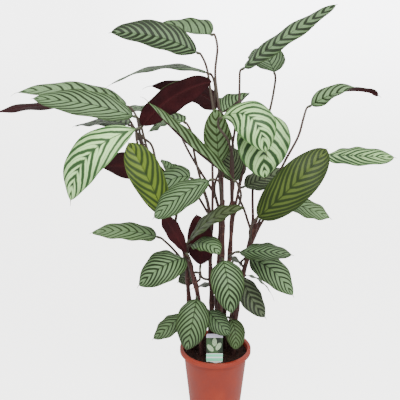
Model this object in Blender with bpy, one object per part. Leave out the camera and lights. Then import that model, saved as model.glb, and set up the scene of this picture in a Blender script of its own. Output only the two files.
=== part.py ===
"""A ctenanthe in its nursery pot: striped leaves on thin petioles, brown canes, soil, pot and plant label.

Metres, +Z up. The origin is the centre of the pot's foot. The front of the plant looks along -Y.
"""

import math
from collections import namedtuple

import bmesh
import bpy
from mathutils import Matrix, Vector
from mathutils import noise

# Pot: a tapered plastic nursery pot with a rolled lip
POT_HEIGHT = 0.175
POT_FOOT_RADIUS = 0.068
POT_NECK_RADIUS = 0.0865
LIP_RADIUS = 0.095
LIP_DEPTH = 0.011
POT_WALL = 0.0018
POT_FLOOR = 0.003
STACKING_RING_DROP = 0.027
STACKING_RING_STEP = 0.001
DRAIN_HOLES = 8
DRAIN_HOLE_RADIUS = 0.005
DRAIN_CIRCLE_RADIUS = 0.048
DRAIN_HOLE_SIDES = 8
POT_SIDES = 36

# Soil: fills the pot to a little below the lip
SOIL_DROP = 0.012
SOIL_LUMPS = 0.0022
SOIL_RINGS = 4

# Label: a flat plastic tag whose stake stands in the soil
LABEL_WIDTH = 0.043
LABEL_HEIGHT = 0.074
LABEL_THICKNESS = 0.0012
LABEL_STAKE_WIDTH = 0.016
LABEL_STAKE_DEPTH = 0.045
LABEL_CENTRE = (-0.0035, -0.060)
LABEL_LEAN = math.radians(7)

# Canes and petioles
CANE_FOOT_RADIUS = 0.0082
CANE_TOP_RADIUS = 0.0050
CANE_SIDES = 7
CANE_STEPS = 10
CANE_JOINT_SPACING = 0.075
CANE_JOINT_SWELL = 0.12
PETIOLE_FOOT_RADIUS = 0.0034
PETIOLE_TOP_RADIUS = 0.0025
PULVINUS_RADIUS = 0.0031
PULVINUS_LENGTH = 0.014
PETIOLE_SIDES = 5
PETIOLE_STEPS = 6
SHEATH_LENGTH = 0.03

# Leaf blades
BLADE_THICKNESS = 0.0008
BLADE_ROWS = 8
SHORT_BLADE_ROWS = 6
SHORT_BLADE = 0.15
BLADE_COLUMNS = 4
BLADE_END_WIDTH = 0.0036
OUTLINE_POWER = 2.2
EDGE_WAVE = 0.0022

# Clearance between pieces that touch
GAP = 0.0003

# Each cane's course, from its foot in the soil to its top
CANES = {
    "cane_a": [(-0.055, 0.015, 0.130), (-0.070, 0.005, 0.310), (-0.075, -0.010, 0.405),
               (-0.080, -0.020, 0.445)],
    "cane_b": [(-0.035, -0.020, 0.130), (-0.045, -0.025, 0.320), (-0.065, -0.035, 0.415),
               (-0.085, -0.045, 0.475), (-0.115, -0.060, 0.550)],
    "cane_c": [(-0.015, 0.020, 0.130), (-0.010, 0.010, 0.295), (-0.015, 0.000, 0.430),
               (-0.010, -0.010, 0.545)],
    "cane_d": [(0.010, -0.025, 0.130), (0.010, -0.030, 0.315), (0.015, -0.035, 0.445),
               (0.015, -0.035, 0.590)],
    "cane_e": [(0.020, 0.020, 0.130), (0.025, 0.015, 0.295), (0.035, -0.010, 0.445),
               (0.040, -0.025, 0.585)],
    "cane_f": [(0.035, 0.000, 0.130), (0.045, 0.005, 0.275), (0.075, 0.010, 0.395),
               (0.095, 0.010, 0.525)],
    "cane_g": [(0.045, -0.020, 0.130), (0.055, -0.030, 0.315), (0.075, -0.045, 0.435),
               (0.095, -0.065, 0.540)],
    "cane_h": [(0.005, 0.045, 0.130), (0.005, 0.045, 0.280), (0.010, 0.045, 0.435),
               (0.015, 0.040, 0.590)],
}

# A leaf: its cane, the height at which its petiole leaves the cane, three points of its midrib (base,
# middle and tip), its width, the way its upper side faces, how far its halves fold up, how far its edges
# droop, how far it twists from base to tip (radians), where along it the blade is widest, how pointed its
# base and tip are, its colour, and the points that its petiole bends through
Leaf = namedtuple("Leaf", "cane joins base middle tip width face fold droop twist widest ends tone bends")

LEAVES = {
    "leaf_a1": Leaf("cane_a", 0.24, (-0.085, -0.030, 0.280), (-0.120, -0.050, 0.260),
                    (-0.160, -0.060, 0.230), 0.060, (-0.3, -0.5, 0.8), 0.1, 0.1, 0, 0.46, (0.6, 0.8),
                    "mid", []),
    "leaf_a2": Leaf("cane_a", 0.32, (-0.055, 0.040, 0.370), (-0.075, 0.050, 0.355),
                    (-0.100, 0.060, 0.335), 0.045, (-0.3, -0.8, 0.5), 0.1, 0.1, 0, 0.46, (0.55, 0.85),
                    "dark", []),
    "leaf_a3": Leaf("cane_a", 0.38, (-0.150, -0.030, 0.495), (-0.225, -0.030, 0.510),
                    (-0.310, -0.030, 0.505), 0.070, (0, -0.33, 0.94), 0.1, 0.1, 0, 0.46, (0.4, 0.7),
                    "mid", []),
    "leaf_b1": Leaf("cane_b", 0.27, (-0.050, -0.050, 0.335), (-0.060, -0.090, 0.290),
                    (-0.075, -0.080, 0.210), 0.080, (-0.05, -0.9, 0.4), 0.1, 0.12, 0, 0.46, (0.6, 0.7),
                    "mid", []),
    "leaf_b2": Leaf("cane_b", 0.37, (-0.080, -0.050, 0.445), (-0.130, -0.090, 0.440),
                    (-0.190, -0.090, 0.390), 0.090, (-0.35, -0.7, 0.6), 0.1, 0.12, 0, 0.46, (0.6, 0.75),
                    "mid", []),
    "leaf_b3": Leaf("cane_b", 0.40, (-0.060, -0.060, 0.485), (-0.025, -0.095, 0.500),
                    (0.005, -0.130, 0.485), 0.060, (0, -0.4, 0.9), 0.1, 0.12, 0, 0.46, (0.55, 0.85),
                    "mid", []),
    "leaf_b4": Leaf("cane_b", 0.41, (-0.075, -0.075, 0.470), (-0.100, -0.090, 0.520),
                    (-0.125, -0.100, 0.575), 0.042, (0.15, 0.95, 0.3), 0.1, 0.1, 0, 0.66, (0.8, 0.7),
                    "mid", []),
    "leaf_b5": Leaf("cane_b", 0.42, (-0.065, -0.080, 0.505), (-0.010, -0.100, 0.565),
                    (0.060, -0.120, 0.595), 0.064, (-0.45, -0.25, 0.8), 0.15, 0.1, 0, 0.46, (0.55, 0.85),
                    "dark", []),
    "leaf_b6": Leaf("cane_b", 0.48, (-0.215, 0.000, 0.770), (-0.280, 0.060, 0.770),
                    (-0.370, 0.120, 0.750), 0.065, (-0.1, -0.2, 1), 0.1, 0.1, 0, 0.46, (0.55, 0.85),
                    "mid", [(-0.185, -0.005, 0.730)]),
    "leaf_b7": Leaf("cane_b", 0.49, (-0.125, 0.030, 0.635), (-0.210, 0.080, 0.650),
                    (-0.300, 0.100, 0.645), 0.095, (0, 0.9, 0.4), 0.05, 0.1, 0, 0.46, (0.6, 0.8),
                    "mid", []),
    "leaf_b8": Leaf("cane_b", 0.50, (-0.120, -0.090, 0.555), (-0.160, -0.105, 0.660),
                    (-0.205, -0.085, 0.740), 0.078, (-0.1, -0.95, 0.25), 0.15, 0.1, 0, 0.6, (0.8, 0.75),
                    "young", []),
    "leaf_b9": Leaf("cane_b", 0.50, (-0.285, 0.090, 0.810), (-0.420, 0.030, 0.815),
                    (-0.530, 0.000, 0.800), 0.070, (0, 0.4, 0.92), 0.1, 0.15, 0, 0.46, (0.6, 0.8),
                    "mid", [(-0.200, 0.040, 0.745)]),
    "leaf_b10": Leaf("cane_b", 0.50, (-0.225, 0.050, 0.810), (-0.350, 0.060, 0.845),
                     (-0.500, 0.080, 0.840), 0.075, (0, -0.42, 0.9), 0.2, 0.1, 0, 0.46, (0.45, 0.8),
                     "mid", [(-0.185, 0.020, 0.730)]),
    "leaf_b11": Leaf("cane_b", 0.52, (-0.190, -0.070, 0.770), (-0.295, -0.110, 0.715),
                     (-0.345, -0.090, 0.605), 0.098, (-0.3, -0.85, 0.4), 0.08, 0.15, 0, 0.5, (0.85, 0.8),
                     "pale", [(-0.190, -0.060, 0.740)]),
    "leaf_b12": Leaf("cane_b", 0.53, (-0.200, -0.030, 0.795), (-0.305, -0.040, 0.825),
                     (-0.435, -0.020, 0.835), 0.085, (-0.1, -0.6, 0.8), 0.15, 0.1, 0, 0.46, (0.55, 0.8),
                     "mid", [(-0.175, -0.030, 0.745)]),
    "leaf_b13": Leaf("cane_b", 0.58, (-0.175, -0.050, 0.775), (-0.105, -0.060, 0.840),
                     (-0.015, -0.040, 0.875), 0.085, (-0.35, 0.75, 0.55), 0.05, 0.12, 0, 0.52, (0.5, 0.58),
                     "mid", [(-0.155, -0.030, 0.720)]),
    "leaf_c1": Leaf("cane_c", 0.22, (-0.020, -0.045, 0.300), (0.005, -0.070, 0.280),
                    (0.035, -0.075, 0.250), 0.055, (0.15, -0.75, 0.6), 0.1, 0.12, 0, 0.46, (0.6, 0.8),
                    "mid", []),
    "leaf_c2": Leaf("cane_c", 0.30, (-0.005, 0.020, 0.345), (-0.035, 0.040, 0.335),
                    (-0.065, 0.070, 0.310), 0.040, (0, -0.1, 1), 0.1, 0.1, 0, 0.46, (0.55, 0.85),
                    "dark", []),
    "leaf_c3": Leaf("cane_c", 0.33, (-0.040, -0.030, 0.420), (-0.040, -0.030, 0.485),
                    (-0.050, -0.025, 0.550), 0.068, (0, 0.95, 0.3), 0.05, 0.1, 0, 0.4, (0.8, 0.7),
                    "mid", []),
    "leaf_c4": Leaf("cane_c", 0.46, (-0.065, -0.070, 0.655), (-0.100, -0.075, 0.655),
                    (-0.150, -0.080, 0.625), 0.058, (-0.2, -0.75, 0.6), 0.3, 0.1, 0, 0.46, (0.6, 0.8),
                    "mid", []),
    "leaf_c5": Leaf("cane_c", 0.50, (-0.085, -0.020, 0.640), (-0.115, -0.010, 0.660),
                    (-0.135, 0.020, 0.680), 0.044, (0.5, -0.45, 0.7), 0.55, 0.1, 0, 0.46, (0.55, 0.85),
                    "mid", []),
    "leaf_c6": Leaf("cane_c", 0.52, (-0.080, -0.020, 0.780), (-0.120, 0.020, 0.780),
                    (-0.170, 0.060, 0.745), 0.058, (0.2, -0.6, 0.75), 0.1, 0.15, 0, 0.46, (0.55, 0.85),
                    "mid", [(-0.030, 0.000, 0.600), (-0.055, -0.010, 0.700)]),
    "leaf_c7": Leaf("cane_c", 0.54, (-0.025, 0.045, 0.890), (-0.140, 0.060, 0.905),
                    (-0.265, 0.060, 0.860), 0.074, (0, -0.12, 1), 0.05, 0.1, 0, 0.36, (0.6, 1),
                    "mid", [(-0.010, 0.040, 0.715), (-0.005, 0.035, 0.835)]),
    "leaf_d1": Leaf("cane_d", 0.36, (0.015, -0.080, 0.450), (0.025, -0.120, 0.410),
                    (0.035, -0.120, 0.330), 0.080, (0.05, -0.9, 0.4), 0.1, 0.12, 0, 0.46, (0.6, 0.8),
                    "mid", []),
    "leaf_d2": Leaf("cane_d", 0.48, (-0.020, -0.120, 0.660), (-0.085, -0.145, 0.630),
                    (-0.145, -0.145, 0.580), 0.075, (-0.45, -0.65, 0.6), 0.1, 0.12, 0, 0.52, (0.75, 0.65),
                    "mid", [(0.010, -0.055, 0.605)]),
    "leaf_d3": Leaf("cane_d", 0.52, (-0.050, 0.030, 0.940), (-0.140, 0.010, 0.975),
                    (-0.245, -0.020, 0.985), 0.084, (0.15, -0.75, 0.65), 0.3, 0.1, 0, 0.4, (0.65, 0.75),
                    "mid", [(0.005, 0.025, 0.655), (0.000, 0.025, 0.745), (-0.025, 0.030, 0.905)]),
    "leaf_d4": Leaf("cane_d", 0.56, (-0.015, 0.060, 0.980), (-0.090, 0.130, 0.990),
                    (-0.165, 0.190, 1.000), 0.084, (-0.18, -0.34, 0.93), 0.55, 0.1, 0, 0.3, (0.5, 0.8),
                    "mid", [(0.015, 0.015, 0.635), (0.015, 0.030, 0.695), (0.005, 0.020, 0.810),
                            (-0.005, 0.025, 0.900)]),
    "leaf_e1": Leaf("cane_e", 0.21, (0.040, -0.035, 0.270), (0.050, -0.050, 0.240),
                    (0.050, -0.060, 0.200), 0.051, (0.1, -0.85, 0.5), 0.1, 0.1, 0, 0.46, (0.6, 0.58),
                    "mid", []),
    "leaf_e2": Leaf("cane_e", 0.36, (0.045, 0.020, 0.410), (0.055, 0.040, 0.405),
                    (0.070, 0.060, 0.385), 0.035, (0, -0.6, 0.8), 0.1, 0.1, 0, 0.46, (0.55, 0.85),
                    "dark", []),
    "leaf_e3": Leaf("cane_e", 0.40, (0.055, -0.085, 0.475), (0.110, -0.110, 0.485),
                    (0.175, -0.120, 0.480), 0.068, (0, -0.32, 0.94), 0.1, 0.1, 0, 0.46, (0.75, 0.8),
                    "mid", []),
    "leaf_e4": Leaf("cane_e", 0.49, (0.115, -0.050, 0.805), (0.105, -0.090, 0.740),
                    (0.110, -0.090, 0.660), 0.126, (0.1, -0.9, 0.4), 0.08, 0.12, 0, 0.42, (0.36, 0.75),
                    "pale", [(0.075, -0.010, 0.700)]),
    "leaf_e5": Leaf("cane_e", 0.50, (0.035, -0.090, 0.655), (-0.070, -0.120, 0.745),
                    (-0.155, -0.110, 0.835), 0.038, (0.55, -0.5, 0.7), 0.5, -0.5, 0, 0.42, (0.85, 0.9),
                    "mid", []),
    "leaf_e6": Leaf("cane_e", 0.50, (0.005, 0.105, 0.800), (-0.060, 0.130, 0.840),
                    (-0.170, 0.160, 0.850), 0.080, (0.1, 0.75, 0.65), 0.05, 0.15, 0, 0.34, (0.5, 0.85),
                    "mid", [(0.060, 0.040, 0.610), (0.055, 0.060, 0.645), (0.040, 0.080, 0.725)]),
    "leaf_e7": Leaf("cane_e", 0.52, (0.010, -0.060, 0.795), (0.070, -0.130, 0.805),
                    (0.105, -0.140, 0.730), 0.092, (0.15, -0.9, 0.4), 0.05, 0.15, 0, 0.6, (1.05, 0.72),
                    "pale", [(0.035, -0.040, 0.710)]),
    "leaf_e8": Leaf("cane_e", 0.54, (0.065, 0.010, 0.905), (0.155, -0.010, 0.975),
                    (0.265, -0.030, 1.045), 0.072, (-0.5, -0.45, 0.73), 0.1, 0.15, 0, 0.42, (0.5, 0.65),
                    "mid", [(0.035, 0.000, 0.680), (0.055, 0.010, 0.840)]),
    "leaf_f1": Leaf("cane_f", 0.30, (0.080, 0.010, 0.375), (0.115, 0.000, 0.365),
                    (0.145, -0.010, 0.330), 0.045, (0.35, 0.2, 0.9), 0.1, 0.1, 0, 0.46, (0.55, 0.85),
                    "mid", []),
    "leaf_f2": Leaf("cane_f", 0.36, (0.085, -0.030, 0.435), (0.140, -0.060, 0.415),
                    (0.190, -0.070, 0.355), 0.080, (0.3, -0.65, 0.65), 0.1, 0.12, 0, 0.46, (0.6, 0.8),
                    "mid", []),
    "leaf_f3": Leaf("cane_f", 0.46, (0.070, 0.005, 0.615), (0.115, 0.020, 0.630),
                    (0.180, 0.045, 0.650), 0.070, (-0.2, -0.5, 0.8), 0.1, 0.1, 0, 0.46, (0.75, 0.8),
                    "dark", [(0.070, 0.010, 0.555)]),
    "leaf_f4": Leaf("cane_f", 0.48, (0.230, 0.020, 0.815), (0.300, -0.010, 0.850),
                    (0.370, -0.050, 0.845), 0.058, (-0.1, -0.26, 0.93), 0.45, 0.2, 1.9, 0.46, (0.55, 0.42),
                    "mid", [(0.105, -0.010, 0.545), (0.170, -0.020, 0.695), (0.205, -0.005, 0.760)]),
    "leaf_f5": Leaf("cane_f", 0.56, (0.145, 0.090, 0.890), (0.130, 0.140, 0.925),
                    (0.105, 0.190, 0.945), 0.095, (0.1, -0.75, 0.6), 0.1, 0.1, 0, 0.5, (0.8, 0.8),
                    "mid", [(0.095, 0.050, 0.590), (0.095, 0.070, 0.645), (0.135, 0.080, 0.790),
                            (0.150, 0.090, 0.875)]),
    "leaf_g1": Leaf("cane_g", 0.33, (0.065, -0.050, 0.395), (0.085, -0.070, 0.350),
                    (0.120, -0.090, 0.305), 0.063, (0.3, -0.7, 0.6), 0.1, 0.12, 0, 0.46, (0.7, 0.8),
                    "dark", []),
    "leaf_g2": Leaf("cane_g", 0.42, (0.165, -0.030, 0.585), (0.225, -0.040, 0.570),
                    (0.275, -0.050, 0.550), 0.074, (0, -0.35, 0.93), 0.1, 0.1, 0, 0.46, (0.7, 0.9),
                    "mid", []),
    "leaf_g3": Leaf("cane_g", 0.45, (0.095, -0.110, 0.570), (0.170, -0.140, 0.655),
                    (0.245, -0.110, 0.730), 0.090, (-0.1, -0.9, 0.4), 0.12, 0.1, 0, 0.5, (0.5, 0.62),
                    "olive", []),
    "leaf_g4": Leaf("cane_g", 0.47, (0.285, 0.060, 0.685), (0.345, 0.020, 0.690),
                    (0.435, 0.000, 0.690), 0.080, (0, -0.42, 0.9), 0.1, 0.12, 0, 0.5, (0.4, 0.55),
                    "pale", []),
    "leaf_h1": Leaf("cane_h", 0.46, (0.045, 0.040, 0.620), (0.040, 0.040, 0.665),
                    (0.025, 0.040, 0.710), 0.074, (0.2, -0.9, 0.2), 0.1, 0.1, 0, 0.46, (0.55, 0.85),
                    "dark", []),
    "leaf_h2": Leaf("cane_h", 0.50, (0.005, 0.000, 0.675), (0.000, -0.005, 0.745),
                    (-0.005, -0.005, 0.810), 0.066, (0, -0.95, 0.2), 0.12, 0.1, 0, 0.46, (0.6, 0.85),
                    "mid", [(-0.005, 0.020, 0.605)]),
    "leaf_h3": Leaf("cane_h", 0.52, (-0.135, 0.120, 0.790), (-0.200, 0.130, 0.795),
                    (-0.265, 0.140, 0.785), 0.070, (0, -0.15, 1), 0.1, 0.1, 0, 0.46, (0.55, 0.85),
                    "mid", [(-0.080, 0.090, 0.705)]),
    "leaf_h4": Leaf("cane_h", 0.56, (0.015, 0.045, 0.795), (0.050, 0.080, 0.805),
                    (0.085, 0.120, 0.835), 0.076, (0, 0.08, 1), 0.9, 0.2, 0, 0.46, (0.55, 0.85),
                    "mid", [(0.015, 0.055, 0.650), (0.015, 0.055, 0.720)]),
}

# Colours (linear), roughness
FINISHES = {
    "pot": ((0.42, 0.12, 0.07), 0.45),
    "soil": ((0.025, 0.017, 0.012), 0.95),
    "label": ((0.75, 0.80, 0.76), 0.40),
    "cane": ((0.11, 0.035, 0.028), 0.50),
    "mid": ((0.10, 0.20, 0.10), 0.42),
    "pale": ((0.33, 0.50, 0.30), 0.42),
    "young": ((0.20, 0.29, 0.04), 0.42),
    "olive": ((0.13, 0.17, 0.03), 0.42),
    "dark": ((0.03, 0.07, 0.03), 0.42),
}


def clear_scene():
    for thing in list(bpy.data.objects):
        bpy.data.objects.remove(thing, do_unlink=True)


def finish(name):
    """The material of a named finish."""
    material = bpy.data.materials.get(name)
    if material:
        return material
    colour, roughness = FINISHES[name]
    material = bpy.data.materials.new(name)
    material.use_nodes = True
    shader = material.node_tree.nodes["Principled BSDF"]
    shader.inputs["Base Color"].default_value = (*colour, 1.0)
    shader.inputs["Roughness"].default_value = roughness
    shader.inputs["Metallic"].default_value = 0.0
    return material


def add_object(name, mesh, material=None, smooth_angle=None, origin=(0, 0, 0)):
    """A new object from a bmesh, with its origin at a point of its own."""
    data = bpy.data.meshes.new(name)
    bmesh.ops.translate(mesh, verts=mesh.verts, vec=-Vector(origin))
    mesh.to_mesh(data)
    mesh.free()
    thing = bpy.data.objects.new(name, data)
    thing.location = origin
    bpy.context.scene.collection.objects.link(thing)
    if material:
        data.materials.append(finish(material))
    if smooth_angle:
        data.shade_smooth()
        data.set_sharp_from_angle(angle=smooth_angle)
    return thing


def smooth_curve(points, steps):
    """Points along a smooth curve through the given ones, with so many steps between each two."""
    points = [Vector(p) for p in points]
    ends = [2 * points[0] - points[1]] + points + [2 * points[-1] - points[-2]]
    curve = []
    for a, b, c, d in zip(ends, ends[1:], ends[2:], ends[3:]):
        for step in range(steps):
            t = step / steps
            curve.append(0.5 * (2 * b + (c - a) * t + (2 * a - 5 * b + 4 * c - d) * t ** 2
                                + (3 * b - a - 3 * c + d) * t ** 3))
    curve.append(points[-1])
    return curve


def resample(curve, shares):
    """The curve's points at the given shares of its length."""
    lengths = [0.0]
    for a, b in zip(curve, curve[1:]):
        lengths.append(lengths[-1] + (b - a).length)
    points = []
    for share in shares:
        want = lengths[-1] * share
        k = max(i for i in range(len(curve) - 1) if lengths[i] <= want + 1e-9)
        part = (want - lengths[k]) / (lengths[k + 1] - lengths[k])
        points.append(curve[k].lerp(curve[k + 1], min(part, 1.0)))
    return points


def tube(points, radii, sides):
    """A closed tube along a course, as a bmesh."""
    mesh = bmesh.new()
    rings = []
    across = Vector((1, 0, 0))
    for i, point in enumerate(points):
        along = (points[min(i + 1, len(points) - 1)] - points[max(i - 1, 0)]).normalized()
        across = (across - along * across.dot(along)).normalized()
        other = along.cross(across)
        ring = []
        for side in range(sides):
            angle = math.tau * side / sides
            offset = across * math.cos(angle) + other * math.sin(angle)
            ring.append(mesh.verts.new(point + offset * radii[i]))
        rings.append(ring)
    for lower, upper in zip(rings, rings[1:]):
        for side in range(sides):
            after = (side + 1) % sides
            mesh.faces.new((lower[side], lower[after], upper[after], upper[side]))
    mesh.faces.new(reversed(rings[0]))
    mesh.faces.new(rings[-1])
    return mesh


def turned(profile, sides):
    """A solid turned about Z from an (radius, height) outline that starts and ends on the axis."""
    mesh = bmesh.new()
    corners = [mesh.verts.new((radius, 0, height)) for radius, height in profile]
    edges = [mesh.edges.new(pair) for pair in zip(corners, corners[1:])]
    bmesh.ops.spin(mesh, geom=corners + edges, axis=(0, 0, 1), angle=math.tau, steps=sides, use_merge=True)
    bmesh.ops.remove_doubles(mesh, verts=mesh.verts, dist=1e-6)
    bmesh.ops.recalc_face_normals(mesh, faces=mesh.faces)
    return mesh


def combine(thing, others, operation, solver="EXACT"):
    """Joins or cuts a thing with the others, which are then removed."""
    group = bpy.data.collections.new(thing.name + "_group")
    bpy.context.scene.collection.children.link(group)
    bpy.context.view_layer.update()
    for other in others:
        bpy.context.scene.collection.objects.unlink(other)
        group.objects.link(other)
    boolean = thing.modifiers.new("combine", "BOOLEAN")
    boolean.operand_type = "COLLECTION"
    boolean.collection = group
    boolean.operation = operation
    boolean.solver = solver
    with bpy.context.temp_override(object=thing, active_object=thing, selected_objects=[thing]):
        bpy.ops.object.modifier_apply(modifier=boolean.name)
    for other in list(group.objects):
        bpy.data.objects.remove(other, do_unlink=True)
    bpy.data.collections.remove(group)


def pot_radius(height):
    """The radius of the pot's tapered wall, outside."""
    return POT_FOOT_RADIUS + (POT_NECK_RADIUS - POT_FOOT_RADIUS) * height / POT_HEIGHT


def make_pot():
    under_lip = POT_HEIGHT - LIP_DEPTH
    ring = POT_HEIGHT - STACKING_RING_DROP
    outer = [
        (0, 0),
        (POT_FOOT_RADIUS - 0.002, 0),
        (pot_radius(0.002), 0.002),
        (pot_radius(ring) - STACKING_RING_STEP, ring),
        (pot_radius(ring) + STACKING_RING_STEP / 2, ring + STACKING_RING_STEP),
        (POT_NECK_RADIUS, POT_HEIGHT - POT_WALL - 0.001),
        (LIP_RADIUS - POT_WALL, POT_HEIGHT - POT_WALL - 0.001),
        (LIP_RADIUS - POT_WALL, under_lip),
        (LIP_RADIUS, under_lip),
        (LIP_RADIUS, POT_HEIGHT - 0.002),
        (LIP_RADIUS - 0.002, POT_HEIGHT),
    ]
    inner = [
        (POT_NECK_RADIUS - POT_WALL + 0.002, POT_HEIGHT),
        (POT_NECK_RADIUS - POT_WALL, POT_HEIGHT - 0.003),
        (pot_radius(POT_FLOOR) - POT_WALL, POT_FLOOR),
        (0, POT_FLOOR),
    ]
    pot = add_object("pot", turned(outer + inner, POT_SIDES), "pot", math.radians(35))
    drills = []
    for hole in range(DRAIN_HOLES):
        angle = math.tau * (hole + 0.5) / DRAIN_HOLES
        place = Matrix.Rotation(angle, 4, "Z") @ Matrix.Translation((DRAIN_CIRCLE_RADIUS, 0, POT_FLOOR / 2))
        drill = bmesh.new()
        bmesh.ops.create_cone(drill, cap_ends=True, segments=DRAIN_HOLE_SIDES, radius1=DRAIN_HOLE_RADIUS,
                              radius2=DRAIN_HOLE_RADIUS, depth=POT_FLOOR * 3, matrix=place)
        drills.append(add_object(f"drill_{hole}", drill))
    combine(pot, drills, "DIFFERENCE")


def soil_level():
    return POT_HEIGHT - SOIL_DROP


def make_soil(cutters):
    """The potting mix: it fills the pot, is lumpy on top, and has a hole for each thing that stands in it."""
    floor = POT_FLOOR + GAP
    profile = [(0, floor), (pot_radius(floor) - POT_WALL - GAP, floor)]
    top = soil_level()
    edge = pot_radius(top) - POT_WALL - GAP
    for ring in range(SOIL_RINGS):
        profile.append((edge * (1 - ring / SOIL_RINGS), top))
    profile.append((0, top))
    mesh = turned(profile, POT_SIDES)
    for vertex in mesh.verts:
        if vertex.co.z == profile[2][1] and vertex.co.xy.length < edge - GAP:
            vertex.co.z += SOIL_LUMPS * noise.noise(vertex.co * 90) * 2
    soil = add_object("soil", mesh, "soil", math.radians(50))
    combine(soil, cutters, "DIFFERENCE")


def label_outline(grow=0.0):
    """The tag's outline from above its stake's point, as (across, up) pairs."""
    half = LABEL_WIDTH / 2 + grow
    stake = LABEL_STAKE_WIDTH / 2 + grow
    corner = 0.003
    return [
        (0, -LABEL_STAKE_DEPTH - grow),
        (stake, -LABEL_STAKE_DEPTH * 0.75),
        (stake, -0.006),
        (half - 0.001, 0.001),
        (half, LABEL_HEIGHT - corner),
        (half - corner, LABEL_HEIGHT),
        (-half + corner, LABEL_HEIGHT),
        (-half, LABEL_HEIGHT - corner),
        (-half + 0.001, 0.001),
        (-stake, -0.006),
        (-stake, -LABEL_STAKE_DEPTH * 0.75),
    ]


def label_solid(thickness, grow=0.0):
    mesh = bmesh.new()
    foot = Vector((LABEL_CENTRE[0], LABEL_CENTRE[1], soil_level() + SOIL_LUMPS))
    up = Vector((0, math.sin(LABEL_LEAN), math.cos(LABEL_LEAN)))
    front = Vector((0, -math.cos(LABEL_LEAN), math.sin(LABEL_LEAN)))
    corners = [foot + Vector((x, 0, 0)) + up * z + front * thickness / 2 for x, z in label_outline(grow)]
    face = mesh.faces.new([mesh.verts.new(corner) for corner in corners])
    pushed = bmesh.ops.extrude_face_region(mesh, geom=[face])
    for item in pushed["geom"]:
        if isinstance(item, bmesh.types.BMVert):
            item.co -= front * thickness
    bmesh.ops.recalc_face_normals(mesh, faces=mesh.faces)
    return mesh


def make_label():
    """Makes the tag and returns the cutter of its slot in the soil."""
    add_object("label", label_solid(LABEL_THICKNESS), "label")
    return add_object("label_slot", label_solid(LABEL_THICKNESS + 2 * GAP, GAP))


def cane_course(cane, steps=CANE_STEPS):
    return resample(smooth_curve(CANES[cane], 12), [step / steps for step in range(steps + 1)])


def cane_radii(course, grow=0.0):
    """The cane tapers upwards and swells a little at each joint."""
    radii = []
    for step, point in enumerate(course):
        radius = CANE_FOOT_RADIUS + (CANE_TOP_RADIUS - CANE_FOOT_RADIUS) * step / (len(course) - 1)
        swell = CANE_JOINT_SWELL * math.cos(math.tau * point.z / CANE_JOINT_SPACING)
        radii.append(radius * (1 + swell) + grow)
    return radii


def cane_cutter(cane):
    """The cane's hole in the soil: the cane itself, a little wider and deeper."""
    course = cane_course(cane)
    down = (course[0] - course[1]).normalized()
    radii = cane_radii(course, GAP * 1.5)
    return add_object(cane + "_hole", tube([course[0] + down * GAP] + course[1:], radii, CANE_SIDES))


def blade_half_width(leaf, t):
    """Half of the blade's width at a share of its length: a long oval with ends of their own sharpness."""
    if t < leaf.widest:
        shape = max(0.0, 1 - (1 - t / leaf.widest) ** OUTLINE_POWER) ** leaf.ends[0]
    else:
        shape = max(0.0, 1 - ((t - leaf.widest) / (1 - leaf.widest)) ** OUTLINE_POWER) ** leaf.ends[1]
    return max(leaf.width * shape, BLADE_END_WIDTH) / 2


def midrib(leaf, t):
    """The midrib's point and direction at a share of its length: one arc through base, middle and tip."""
    base, middle, tip = Vector(leaf.base), Vector(leaf.middle), Vector(leaf.tip)
    bend = 2 * middle - (base + tip) / 2
    point = (1 - t) ** 2 * base + 2 * t * (1 - t) * bend + t ** 2 * tip
    along = ((1 - t) * (bend - base) + t * (tip - bend)).normalized()
    return point, along


def blade_point(leaf, t, s, phase):
    """The blade's middle surface at a share t of its length and s, from -1 to 1, across it."""
    point, along = midrib(leaf, t)
    side = along.cross(Vector(leaf.face)).normalized()
    side.rotate(Matrix.Rotation(leaf.twist * (0.5 - t), 3, along))
    up = side.cross(along)
    half = blade_half_width(leaf, t)
    lift = half * (leaf.fold * abs(s) - leaf.droop * s * s)
    ripple = EDGE_WAVE * s * s * math.sin(math.tau * (3 * t + phase) + s) * min(1.0, half / 0.02)
    return point + side * s * half + up * (lift + ripple)


def make_blade(name, leaf, phase):
    mesh = bmesh.new()
    rows = []
    length = (Vector(leaf.tip) - Vector(leaf.base)).length
    count = SHORT_BLADE_ROWS if length < SHORT_BLADE else BLADE_ROWS
    for row in range(count + 1):
        t = (1 - math.cos(math.pi * row / count)) / 2
        shares = [2 * column / BLADE_COLUMNS - 1 for column in range(BLADE_COLUMNS + 1)]
        rows.append([mesh.verts.new(blade_point(leaf, t, s, phase)) for s in shares])
    for near, far in zip(rows, rows[1:]):
        for column in range(BLADE_COLUMNS):
            a, b = near[column], near[column + 1]
            c, d = far[column + 1], far[column]
            if column < BLADE_COLUMNS / 2:
                mesh.faces.new((a, b, c))
                mesh.faces.new((a, c, d))
            else:
                mesh.faces.new((a, b, d))
                mesh.faces.new((b, c, d))
    blade = add_object(name, mesh, leaf.tone, origin=leaf.base)
    blade.data.shade_smooth()
    thicken = blade.modifiers.new("thickness", "SOLIDIFY")
    thicken.thickness = BLADE_THICKNESS
    thicken.offset = 0.0


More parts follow.
